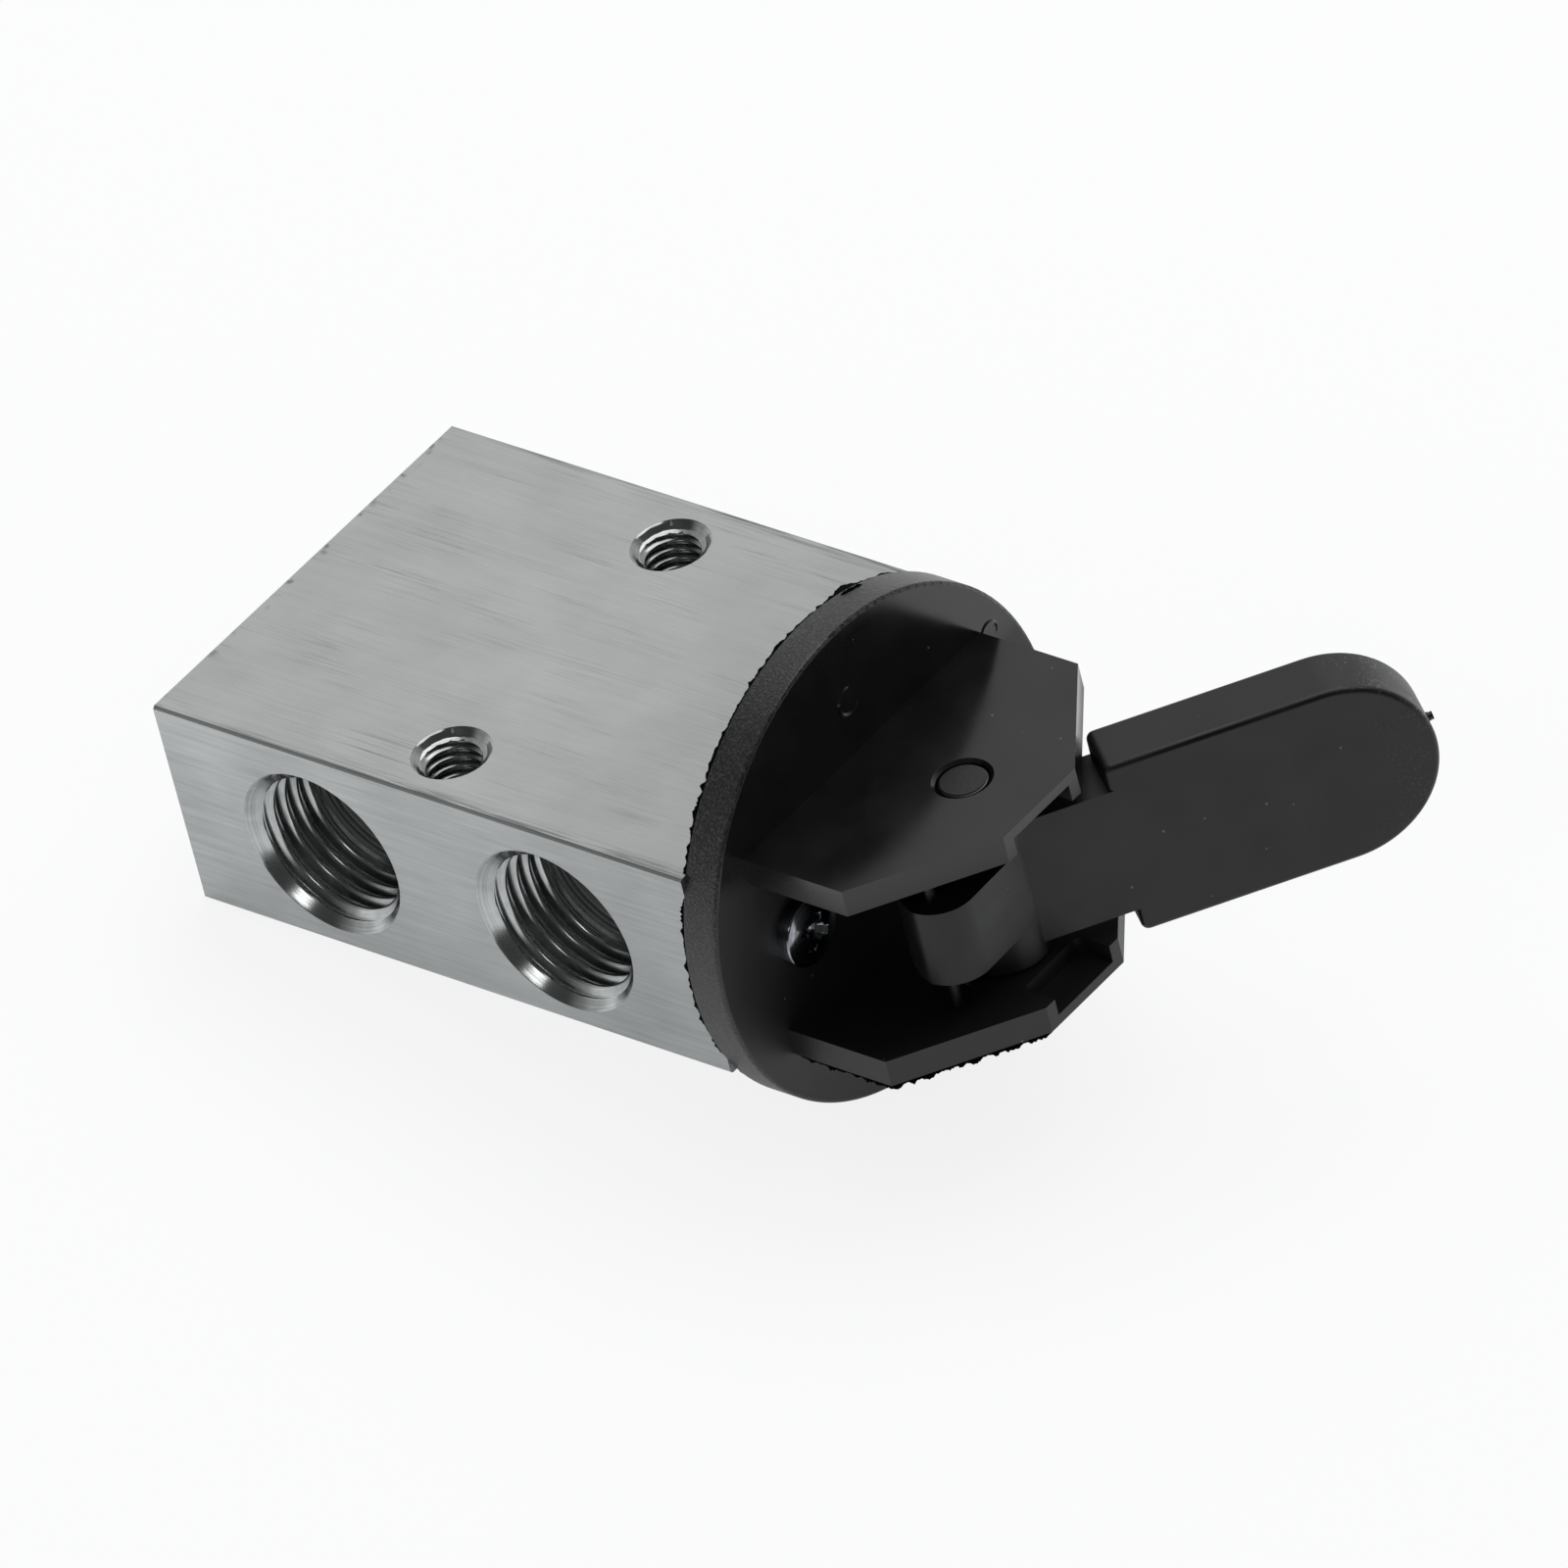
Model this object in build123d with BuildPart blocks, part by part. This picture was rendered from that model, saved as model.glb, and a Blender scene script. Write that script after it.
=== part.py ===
from build123d import *
import os
from math import cos, sin, pi, radians, hypot, sqrt

os.makedirs("parts", exist_ok=True)

# A 3/2 hand lever air valve: an aluminium block with a spool along X, a round plastic
# bracket on its end and a lever that swings about Z and pushes the spool in with a cam.
# The origin is the middle between the two mounting holes, on the top face of the block.
# +X runs along the spool to the lever, +Y to the side without ports, +Z up.

# Block
block_rear = 24.0            # mounting holes to the closed end
block_front = 24.7           # mounting holes to the lever end
block_depth = 35.0
block_height = 17.6
block_edge = 0.2             # broken long edges

# Ports: G 1/4, both in the front face
port_pitch = 21.5
port_thread_r = 6.58
port_mouth_r = 7.0
port_thread_depth = 6.7
port_core_r = 5.9            # plain drilling behind the thread
port_floor = 6.6             # port floors to the spool axis
port_drop = 0.4              # port axes lie this much below the spool axis
passage_r = 3.0              # cross drilling from a port into the spool bore

# Mounting holes: M5, tapped through
mount_inset = 4.75           # hole centres to the block's sides
mount_thread_r = 2.5
mount_mouth_r = 3.0

# Spool bore and the stack of cages and seals in it
bore_r = 6.0
ring_inset = 0.6             # retaining ring below the closed end
ring_thickness = 0.8
ring_groove_depth = 0.6
ring_width = 1.3
ring_gap = 4.2               # opening of the C
ring_lug_r = 1.0
plug_length = 4.0
filter_thickness = 1.0
filter_r = 3.4
vent_r = 1.2
spring_seat_depth = 2.4      # from the plug's inner face
seal_width = 2.4             # the O-rings are as wide as the space between spool and bore
outlet_cage_length = 14.8
supply_cage_length = 15.7
cage_wall = 1.0
cage_hole_r = 1.4
cage_hole_count = 6
cage_groove_depth = 0.5
cage_groove_width = 6.4
bush_flange_r = 7.2
bush_flange_thickness = 0.9
wiper_r = 5.2
wiper_thickness = 1.4
wiper_inset = 0.2

# Spool and the cap on its end
spool_r = 3.5
spool_clear_of_seal = 0.4    # released spool end to the rear seal
spool_waist_r = 2.2
spool_waist_start = 17.3     # from the spool's rear end
spool_waist_length = 14.3
spring_hole_r = 2.7
spring_hole_depth = 10.0
spring_wire_r = 0.35
spring_mean_r = 2.1
spring_turns = 7
cap_wall = 0.7               # round the spool's end
cap_thickness = 2.4
cap_socket_depth = 1.5
nose_r = 2.0                 # domed nose that the cam slides on
nose_height = 0.95

# Bracket: round flange with two ears
flange_r = 19.0
flange_thickness = 2.9
flange_edge = 0.3
ear_thickness = 2.2
ear_half_width = 13.8
ear_reach = 15.9             # flange face to the ear's end
ear_corner_x = 8.8           # flange face to the start of the sloped corner
ear_nose_half_width = 4.2
ear_lip = 0.8                # thin front lip of each ear
ear_relief_length = 2.9
ear_relief_half_width = 3.2
ear_relief_corner_r = 0.6
screw_inset = 7.3            # screw centres to the block's sides

# Screws: M3 pan head with a cross recess
screw_r = 1.5
screw_head_r = 2.7
screw_head_height = 1.4
screw_grip = 6.0             # thread length in the block
recess_width = 0.7
recess_half_length = 1.5
recess_depth = 0.9

# Lever
pivot_reach = 9.0            # flange face to the pivot axis
pin_r = 2.0
lever_angle = 54.0           # of the released lever, from +X towards +Y
lever_travel = 90.0          # released to fully thrown
barrel_r = 3.5
arm_lag = 9.0                # the arm's middle line lies this far behind its flank's end
arm_length = 5.65            # pivot to the centre of the arm's round tip
arm_tip_r = 2.75
arm_relief = 3.4             # inner ear faces to the arm's faces
cam_pin_r = 0.4
cam_pin_reach = 6.9          # pivot to the thin pin near the arm's tip
blade_thickness = 5.0        # centred on the pivot
neck_relief = 1.3            # inner ear faces to the neck's faces
shoulder_reach = 9.45        # pivot to the blade's shoulders
blade_half_width = 7.4
blade_reach = 33.0
blade_edge = 0.45
blade_corner_r = 0.6         # round corners of the shoulders

# Clearances
fit = 0.02                   # pressed and threaded pieces, radial
running = 0.04               # sliding and turning pieces, radial
stack_gap = 0.05             # between the pieces in the spool bore
nose_gap = 0.1               # nose to cam
cap_gap = 0.3                # cap in the flange's hole
barrel_gap = 0.3             # barrel's ends to the inner ear faces
cam_pin_gap = 0.2            # cam pin's ends to the inner ear faces
hole_edge = 0.25             # broken mouths of the pin holes

# Places that follow from the sizes
spool_z = -block_height / 2
front_y = -block_depth / 2
mount_pitch = block_depth - 2 * mount_inset
screw_pitch = block_depth - 2 * screw_inset
port_depth = block_depth / 2 - port_floor
ear_half_gap = block_height / 2 - ear_thickness
cap_r = spool_r + fit + cap_wall
barrel_half_height = ear_half_gap - barrel_gap
cam_pin_half_length = ear_half_gap - cam_pin_gap
arm_half_height = ear_half_gap - arm_relief
neck_half_height = ear_half_gap - neck_relief
flange_face = block_front + flange_thickness
pivot_x = flange_face + pivot_reach
stroke = arm_length + arm_tip_r - barrel_r
cap_face = pivot_x - barrel_r - nose_gap - nose_height
cap_back = cap_face - cap_thickness
ring_x = -block_rear + ring_inset
plug_x = ring_x + ring_thickness
seal_rear_x = plug_x + plug_length + stack_gap
outlet_cage_x = seal_rear_x + seal_width + stack_gap
seal_middle_x = outlet_cage_x + outlet_cage_length + stack_gap
supply_cage_x = seal_middle_x + seal_width + stack_gap
seal_front_x = supply_cage_x + supply_cage_length + stack_gap
bush_x = seal_front_x + seal_width + stack_gap
spool_x = seal_rear_x + seal_width + spool_clear_of_seal
spool_end = cap_back + cap_socket_depth
spring_x = plug_x + plug_length - spring_seat_depth
spring_end = spool_x + spring_hole_depth
port_x = {"outlet": -port_pitch / 2, "supply": port_pitch / 2}
port_z = spool_z - port_drop
screw_y = screw_pitch / 2


def across(x):
    # Plane square to the spool at x, with its origin on the spool axis
    return Plane(origin=(x, 0, spool_z), x_dir=(0, 1, 0), z_dir=(1, 0, 0))


# Block: sawn from bar, with the spool bore, two ports, two mounting holes and
# the two screw holes for the bracket
with BuildPart() as valve_body:
    with BuildSketch(across(-block_rear)):
        Rectangle(block_depth, block_height)
    extrude(amount=block_rear + block_front)
    long_edges = valve_body.edges().filter_by(Axis.X)
    chamfer(long_edges, block_edge)
    with BuildSketch(across(-block_rear)):
        Circle(bore_r)
    extrude(amount=block_rear + block_front, mode=Mode.SUBTRACT)
    with BuildSketch(across(ring_x - stack_gap)):
        Circle(bore_r + ring_groove_depth)
    extrude(amount=ring_thickness + 2 * stack_gap, mode=Mode.SUBTRACT)
    with BuildSketch(across(block_front - bush_flange_thickness - stack_gap)):
        Circle(bush_flange_r + stack_gap)
    extrude(amount=bush_flange_thickness + stack_gap, mode=Mode.SUBTRACT)
    port_face = Plane(origin=(0, front_y, port_z), x_dir=(1, 0, 0), z_dir=(0, -1, 0))
    with BuildSketch(port_face):
        with GridLocations(port_pitch, 0, 2, 1):
            Circle(port_thread_r)
    extrude(amount=-port_thread_depth, mode=Mode.SUBTRACT)
    with BuildSketch(port_face):
        with GridLocations(port_pitch, 0, 2, 1):
            Circle(port_core_r)
    extrude(amount=-port_depth, mode=Mode.SUBTRACT)
    with BuildSketch(port_face):
        with GridLocations(port_pitch, 0, 2, 1):
            Circle(passage_r)
    extrude(amount=front_y, mode=Mode.SUBTRACT)
    mouths = valve_body.faces().sort_by(Axis.Y)[0].edges().filter_by(GeomType.CIRCLE)
    chamfer(mouths, port_mouth_r - port_thread_r)
    with BuildSketch(Plane.XY):
        with GridLocations(0, mount_pitch, 1, 2):
            Circle(mount_thread_r)
    extrude(amount=-block_height, mode=Mode.SUBTRACT)
    for face in (valve_body.faces().sort_by(Axis.Z)[-1], valve_body.faces().sort_by(Axis.Z)[0]):
        chamfer(face.edges().filter_by(GeomType.CIRCLE), mount_mouth_r - mount_thread_r)
    with BuildSketch(across(block_front)):
        with GridLocations(screw_pitch, 0, 2, 1):
            Circle(screw_r + fit)
    extrude(amount=-screw_grip, mode=Mode.SUBTRACT)
valve_body.part.label = "valve_body"
export_step(valve_body.part, "parts/valve_body.step")

# End plug: closes the bore, seats the spring and lets the exhaust air out
with BuildPart() as end_plug:
    with BuildSketch(across(plug_x)):
        Circle(bore_r - fit)
    extrude(amount=plug_length)
    with BuildSketch(across(plug_x)):
        Circle(vent_r)
    extrude(amount=plug_length, mode=Mode.SUBTRACT)
    with BuildSketch(across(plug_x)):
        Circle(filter_r)
    extrude(amount=filter_thickness, mode=Mode.SUBTRACT)
    with BuildSketch(across(spring_x)):
        Circle(spool_r + cap_gap)
    extrude(amount=spring_seat_depth, mode=Mode.SUBTRACT)
end_plug.part.label = "end_plug"
export_step(end_plug.part, "parts/end_plug.step")

# Porous disc that the exhaust air leaves through
with BuildPart() as exhaust_filter:
    with BuildSketch(across(plug_x)):
        Circle(filter_r - fit)
    extrude(amount=filter_thickness)
exhaust_filter.part.label = "exhaust_filter"
export_step(exhaust_filter.part, "parts/exhaust_filter.step")

# Internal retaining ring: an open ring with two lugs for the pliers
with BuildPart() as retaining_ring:
    ring_outer_r = bore_r + ring_groove_depth - running
    lug_r = ring_outer_r - ring_width - ring_lug_r / 2
    lug_angle = 90 * (ring_gap / 2 + ring_lug_r) / lug_r * 2 / pi
    with BuildSketch(across(ring_x)):
        Circle(ring_outer_r)
        Circle(ring_outer_r - ring_width, mode=Mode.SUBTRACT)
        with Locations((0, -ring_outer_r)):
            Rectangle(ring_gap, 2 * ring_outer_r, mode=Mode.SUBTRACT)
        with PolarLocations(lug_r, 2, -90 - lug_angle, 2 * lug_angle, endpoint=True):
            Circle(ring_lug_r)
            Circle(ring_lug_r / 2, mode=Mode.SUBTRACT)
    extrude(amount=ring_thickness)
retaining_ring.part.label = "retaining_ring"
export_step(retaining_ring.part, "parts/retaining_ring.step")


def make_seal(start):
    # O-ring round the spool, one seal width long from start
    with BuildPart() as seal:
        middle = Plane(origin=(start + seal_width / 2, 0, spool_z), x_dir=(1, 0, 0), z_dir=(0, 0, 1))
        with BuildSketch(middle):
            with Locations((0, (spool_r + bore_r) / 2)):
                Circle((bore_r - spool_r) / 2 - running)
        revolve(axis=Axis((0, 0, spool_z), (1, 0, 0)))
    return seal.part


for name, start in (("seal_rear", seal_rear_x), ("seal_middle", seal_middle_x), ("seal_front", seal_front_x)):
    seal_part = make_seal(start)
    seal_part.label = name
    export_step(seal_part, f"parts/{name}.step")


def make_cage(start, length, hole_x):
    # Spacer tube with an air groove and a ring of holes in line with its port
    with BuildPart() as cage:
        with BuildSketch(across(start)):
            Circle(bore_r - fit)
            Circle(bore_r - fit - cage_wall - cage_groove_depth, mode=Mode.SUBTRACT)
        extrude(amount=length)
        with BuildSketch(across(hole_x - cage_groove_width / 2)):
            Circle(bore_r)
            Circle(bore_r - fit - cage_groove_depth, mode=Mode.SUBTRACT)
        extrude(amount=cage_groove_width, mode=Mode.SUBTRACT)
        hole_ring = Plane(origin=(hole_x, 0, spool_z), x_dir=(0, 1, 0), z_dir=(1, 0, 0))
        for turn in range(cage_hole_count):
            angle = radians(360 / cage_hole_count * turn)
            outward = (0, cos(angle), sin(angle))
            with BuildSketch(Plane(origin=hole_ring.origin, x_dir=(1, 0, 0), z_dir=outward)):
                Circle(cage_hole_r)
            extrude(amount=bore_r, mode=Mode.SUBTRACT)
    return cage.part


for name, start, length, hole_x in (
    ("outlet_cage", outlet_cage_x, outlet_cage_length, port_x["outlet"]),
    ("supply_cage", supply_cage_x, supply_cage_length, port_x["supply"]),
):
    cage_part = make_cage(start, length, hole_x)
    cage_part.label = name
    export_step(cage_part, f"parts/{name}.step")

# Guide bush: carries the spool at the lever end, held in by the bracket's flange
with BuildPart() as guide_bush:
    with BuildSketch(across(bush_x)):
        Circle(bore_r - fit)
    extrude(amount=block_front - bush_x)
    with BuildSketch(across(block_front - bush_flange_thickness)):
        Circle(bush_flange_r)
    extrude(amount=bush_flange_thickness)
    with BuildSketch(across(bush_x)):
        Circle(spool_r + running)
    extrude(amount=block_front - bush_x, mode=Mode.SUBTRACT)
    with BuildSketch(across(block_front - wiper_inset - wiper_thickness)):
        Circle(wiper_r)
    extrude(amount=wiper_inset + wiper_thickness, mode=Mode.SUBTRACT)
guide_bush.part.label = "guide_bush"
export_step(guide_bush.part, "parts/guide_bush.step")

# Rubber wiper that keeps dust off the spool
with BuildPart() as stem_wiper:
    with BuildSketch(across(block_front - wiper_inset - wiper_thickness)):
        Circle(wiper_r - fit)
        Circle(spool_r + running, mode=Mode.SUBTRACT)
    extrude(amount=wiper_thickness)
    lip = stem_wiper.edges().filter_by(GeomType.CIRCLE).group_by(Axis.X)[-1].sort_by(SortBy.RADIUS)[-1]
    chamfer(lip, wiper_thickness / 3)
stem_wiper.part.label = "stem_wiper"
export_step(stem_wiper.part, "parts/stem_wiper.step")

# Spool: a ground rod with one waist and a hole for the spring
with BuildPart() as spool:
    with BuildSketch(across(spool_x)):
        Circle(spool_r)
    extrude(amount=spool_end - spool_x)
    with BuildSketch(across(spool_x + spool_waist_start)):
        Circle(spool_r)
        Circle(spool_waist_r, mode=Mode.SUBTRACT)
    extrude(amount=spool_waist_length, mode=Mode.SUBTRACT)
    with BuildSketch(across(spool_x)):
        Circle(spring_hole_r)
    extrude(amount=spring_hole_depth, mode=Mode.SUBTRACT)
    rim = spool.edges().filter_by(GeomType.CIRCLE).group_by(Axis.X)[0].sort_by(SortBy.RADIUS)[-1]
    chamfer(rim, (spool_r - spring_hole_r) / 2)
spool.part.label = "spool"
export_step(spool.part, "parts/spool.step")

# Return spring between the end plug and the bottom of the spool's hole
with BuildPart() as return_spring:
    coil_length = spring_end - spring_x - 2 * spring_wire_r - 2 * stack_gap
    coil_start = (spring_x + spring_wire_r + stack_gap, 0, spool_z)
    with BuildLine() as coil:
        Helix(coil_length / spring_turns, coil_length, spring_mean_r, center=coil_start, direction=(1, 0, 0))
    with BuildSketch(Plane(origin=coil.line @ 0, z_dir=coil.line % 0)):
        Circle(spring_wire_r)
    sweep(path=coil.line, is_frenet=True)
return_spring.part.label = "return_spring"
export_step(return_spring.part, "parts/return_spring.step")

# Cap on the spool's end, with the domed nose that the cam pushes
with BuildPart() as plunger_cap:
    with BuildSketch(across(cap_back)):
        Circle(cap_r)
    extrude(amount=cap_thickness)
    nose_base_r = sqrt(nose_r**2 - (nose_r - nose_height) ** 2)
    with BuildSketch(Plane(origin=(cap_face, 0, spool_z), x_dir=(1, 0, 0), z_dir=(0, 0, 1))):
        with BuildLine():
            Line((-nose_height, 0), (nose_height, 0))
            RadiusArc((nose_height, 0), (0, nose_base_r), -nose_r)
            Polyline((0, nose_base_r), (-nose_height, nose_base_r), (-nose_height, 0))
        make_face()
    revolve(axis=Axis((0, 0, spool_z), (1, 0, 0)))
    with BuildSketch(across(cap_back)):
        Circle(spool_r + fit)
    extrude(amount=cap_socket_depth, mode=Mode.SUBTRACT)
    fillet(plunger_cap.edges().filter_by(GeomType.CIRCLE).sort_by(SortBy.RADIUS)[-2:], flange_edge)
plunger_cap.part.label = "plunger_cap"
export_step(plunger_cap.part, "parts/plunger_cap.step")

# Bracket: moulded flange that covers the block's end, with two ears flush with the
# block's faces, each with sloped corners and a thin relieved lip at its front end
with BuildPart() as lever_bracket:
    with BuildSketch(across(block_front)):
        Circle(flange_r)
    extrude(amount=flange_thickness)
    fillet(lever_bracket.edges().filter_by(GeomType.CIRCLE).group_by(Axis.X)[-1], flange_edge)
    ear_end = flange_face + ear_reach
    for ear_bottom in (-ear_thickness, -block_height):
        with BuildSketch(Plane.XY.offset(ear_bottom)):
            with BuildLine():
                Polyline(
                    (flange_face - flange_thickness / 2, -ear_half_width),
                    (flange_face + ear_corner_x, -ear_half_width),
                    (ear_end, -ear_nose_half_width),
                    (ear_end, ear_nose_half_width),
                    (flange_face + ear_corner_x, ear_half_width),
                    (flange_face - flange_thickness / 2, ear_half_width),
                    close=True,
                )
            make_face()
        extrude(amount=ear_thickness)
    for relief_bottom in (-ear_thickness, -block_height + ear_lip):
        with BuildSketch(Plane.XY.offset(relief_bottom)):
            with Locations((ear_end, 0)):
                RectangleRounded(2 * ear_relief_length, 2 * ear_relief_half_width, ear_relief_corner_r)
        extrude(amount=ear_thickness - ear_lip, mode=Mode.SUBTRACT)
    with BuildSketch(across(block_front)):
        Circle(cap_r + cap_gap)
        with GridLocations(screw_pitch, 0, 2, 1):
            Circle(screw_r + running)
    extrude(amount=flange_thickness, mode=Mode.SUBTRACT)
    with BuildSketch(Plane.XY):
        with Locations((pivot_x, 0)):
            Circle(pin_r + fit)
    extrude(amount=-block_height, mode=Mode.SUBTRACT)
    ear_mouths = lever_bracket.edges().filter_by(GeomType.CIRCLE).filter_by(
        lambda edge: abs(edge.radius - pin_r - fit) < fit / 2
    )
    chamfer(ear_mouths.group_by(Axis.Z)[-1] + ear_mouths.group_by(Axis.Z)[0], hole_edge)
lever_bracket.part.label = "lever_bracket"
export_step(lever_bracket.part, "parts/lever_bracket.step")

# Two cross-recess screws that hold the bracket on the block
for name, side in (("bracket_screw_front", -1), ("bracket_screw_rear", 1)):
    with BuildPart() as screw:
        screw_seat = Plane(origin=(flange_face, side * screw_y, spool_z), x_dir=(0, 1, 0), z_dir=(1, 0, 0))
        with BuildSketch(screw_seat):
            Circle(screw_head_r)
        extrude(amount=screw_head_height)
        fillet(screw.edges().group_by(Axis.X)[-1], screw_head_height * 0.6)
        with BuildSketch(screw_seat):
            Circle(screw_r)
        extrude(amount=-(flange_thickness + screw_grip - stack_gap))
        with BuildSketch(screw_seat.offset(screw_head_height)):
            Rectangle(2 * recess_half_length, recess_width)
            Rectangle(recess_width, 2 * recess_half_length)
        extrude(amount=-recess_depth, taper=15, mode=Mode.SUBTRACT)
    screw.part.label = name
    export_step(screw.part, f"parts/{name}.step")

# Pivot pin through both ears, flush with their outer faces
with BuildPart() as pivot_pin:
    with BuildSketch(Plane.XY):
        with Locations((pivot_x, 0)):
            Circle(pin_r)
    extrude(amount=-block_height)
    chamfer(pivot_pin.edges().filter_by(GeomType.CIRCLE), hole_edge / 2)
pivot_pin.part.label = "pivot_pin"
export_step(pivot_pin.part, "parts/pivot_pin.step")

# The lever's own plane: x along the blade, y to its back face, z up, at the spool's height
lever_plane = Plane(
    origin=(pivot_x, 0, spool_z),
    x_dir=(cos(radians(lever_angle)), sin(radians(lever_angle)), 0),
    z_dir=(0, 0, 1),
)
rise = stroke / radians(lever_travel)
flank_start = radians(180 - lever_angle)
flank_end = flank_start + radians(lever_travel)
arm_angle = flank_end + radians(arm_lag)
arm_tip = (arm_length * cos(arm_angle), arm_length * sin(arm_angle))
cam_pin_place = (cam_pin_reach * cos(arm_angle), cam_pin_reach * sin(arm_angle))


def flank_point(angle):
    # The nose centre keeps to a spiral round the pivot that gains equal distance for equal
    # angle; the flank runs beside that spiral, nose radius and gap away on its normal
    reach = barrel_r + nose_gap + nose_r + rise * (angle - flank_start)
    slope = hypot(reach, rise)
    out = reach - (nose_r + nose_gap) * reach / slope
    along = (nose_r + nose_gap) * rise / slope
    return (out * cos(angle) - along * sin(angle), out * sin(angle) + along * cos(angle))


# Hand lever: barrel on the pin, cam arm with a spiral flank and a round tip, flat blade
with BuildPart() as hand_lever:
    with BuildSketch(lever_plane.offset(-barrel_half_height)):
        Circle(barrel_r)
    extrude(amount=2 * barrel_half_height)
    tangent_tilt = (barrel_r - arm_tip_r) / arm_length
    side_angle = arm_angle + pi / 2 - tangent_tilt
    side = (cos(side_angle), sin(side_angle))
    tip_side = (arm_tip[0] + arm_tip_r * side[0], arm_tip[1] + arm_tip_r * side[1])
    barrel_side = (barrel_r * side[0], barrel_r * side[1])
    flank_lead = radians(15)
    steps = 8
    flank = [
        flank_point(flank_start - flank_lead + (flank_end - flank_start + flank_lead) * step / steps)
        for step in range(steps + 1)
    ]
    outward_angle = arm_angle + pi / 4
    tip_middle = (
        arm_tip[0] + arm_tip_r * cos(outward_angle),
        arm_tip[1] + arm_tip_r * sin(outward_angle),
    )
    with BuildSketch(lever_plane.offset(-arm_half_height)) as arm_sketch:
        with BuildLine():
            Line((0, 0), flank[0])
            Spline(*flank)
            ThreePointArc(flank[-1], tip_middle, tip_side)
            Line(tip_side, barrel_side)
            Line(barrel_side, (0, 0))
        make_face()
    extrude(amount=2 * arm_half_height)
    blade_plane = Plane(origin=lever_plane.origin, x_dir=lever_plane.x_dir, z_dir=-lever_plane.y_dir)
    with BuildSketch(blade_plane):
        with Locations((shoulder_reach / 2, 0)):
            Rectangle(shoulder_reach, 2 * neck_half_height)
    extrude(amount=blade_thickness / 2, both=True)
    with BuildSketch(blade_plane):
        with BuildLine():
            round_x = blade_reach - blade_half_width
            Polyline(
                (round_x, blade_half_width),
                (shoulder_reach, blade_half_width),
                (shoulder_reach, -blade_half_width),
                (round_x, -blade_half_width),
            )
            ThreePointArc((round_x, -blade_half_width), (blade_reach, 0), (round_x, blade_half_width))
        make_face()
        fillet(vertices().group_by(Axis.X)[0], blade_corner_r)
    extrude(amount=blade_thickness / 2, both=True)
    blade_faces = hand_lever.faces().filter_by(Axis((0, 0, 0), blade_plane.z_dir)).sort_by(SortBy.AREA)[-2:]
    along_blade = Axis(blade_plane.origin, blade_plane.x_dir)
    blade_rim = blade_faces.edges().filter_by_position(along_blade, shoulder_reach - 0.1, blade_reach + 0.1)
    fillet(blade_rim, blade_edge)
    with BuildSketch(lever_plane.offset(-barrel_half_height)):
        Circle(pin_r + running)
        with Locations(cam_pin_place):
            Circle(cam_pin_r + fit)
    extrude(amount=2 * barrel_half_height, mode=Mode.SUBTRACT)
hand_lever.part.label = "hand_lever"
export_step(hand_lever.part, "parts/hand_lever.step")

# Thin steel pin through the arm near its tip, kept in by the ears
with BuildPart() as cam_pin:
    with BuildSketch(lever_plane.offset(-cam_pin_half_length)):
        with Locations(cam_pin_place):
            Circle(cam_pin_r)
    extrude(amount=2 * cam_pin_half_length)
    chamfer(cam_pin.edges().filter_by(GeomType.CIRCLE), cam_pin_r / 5)
cam_pin.part.label = "cam_pin"
export_step(cam_pin.part, "parts/cam_pin.step")
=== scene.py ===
import bmesh
import bpy
import numpy as np
from math import atan, cos, pi, radians, sin
from mathutils import Matrix, Vector


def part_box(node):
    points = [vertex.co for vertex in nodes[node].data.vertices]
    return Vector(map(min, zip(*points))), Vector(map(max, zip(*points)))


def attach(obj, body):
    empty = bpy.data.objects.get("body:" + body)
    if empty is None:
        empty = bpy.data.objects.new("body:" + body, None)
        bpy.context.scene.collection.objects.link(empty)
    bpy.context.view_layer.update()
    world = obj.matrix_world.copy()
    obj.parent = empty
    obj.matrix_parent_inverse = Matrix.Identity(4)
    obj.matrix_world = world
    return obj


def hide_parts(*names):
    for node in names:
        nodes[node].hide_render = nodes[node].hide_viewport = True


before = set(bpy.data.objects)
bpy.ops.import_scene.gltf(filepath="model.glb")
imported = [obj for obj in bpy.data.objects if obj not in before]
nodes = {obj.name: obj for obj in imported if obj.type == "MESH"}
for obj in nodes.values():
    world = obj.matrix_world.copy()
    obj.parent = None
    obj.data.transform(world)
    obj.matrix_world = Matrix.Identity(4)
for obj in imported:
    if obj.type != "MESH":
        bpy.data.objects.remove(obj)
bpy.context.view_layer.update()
MM = 0.001

# Camera: a long lens, over the side with the ports and above the lever end. Its place and
# turn are those that the block's edges, the oval ports and the round flange show.
camera_place = Vector((1.09099, -1.00316, 1.09222))
camera_look = Vector((-0.584707, 0.547045, -0.599050))
camera_up = Vector((-0.251195, 0.580054, 0.774879))
camera_right = camera_look.cross(camera_up).normalized()
camera_data = bpy.data.cameras.new("camera")
camera_data.sensor_width = 36
camera_data.lens = 597
camera = bpy.data.objects.new("camera", camera_data)
bpy.context.scene.collection.objects.link(camera)
turn = Matrix((camera_right, camera_right.cross(camera_look), -camera_look)).transposed()
camera.matrix_world = Matrix.Translation(camera_place) @ turn.to_4x4()
bpy.context.scene.camera = camera
bpy.context.scene.view_settings.view_transform = "Standard"

# Table: a white laminate top. The valve lies on the rear edge of its block and on the rim
# of the round flange, so in the valve's own frame the table slopes down to the lever.
block_low, block_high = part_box("valve_body")
bracket_low, bracket_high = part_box("lever_bracket")
rear_edge = Vector((block_low[0], 0, block_low[2]))
rim_rest = Vector((block_high[0], 0, bracket_low[2]))
slope = atan((rear_edge.z - rim_rest.z) / (rim_rest.x - rear_edge.x))
table_half = 4.0
table_gap = 0.02 * MM


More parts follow.
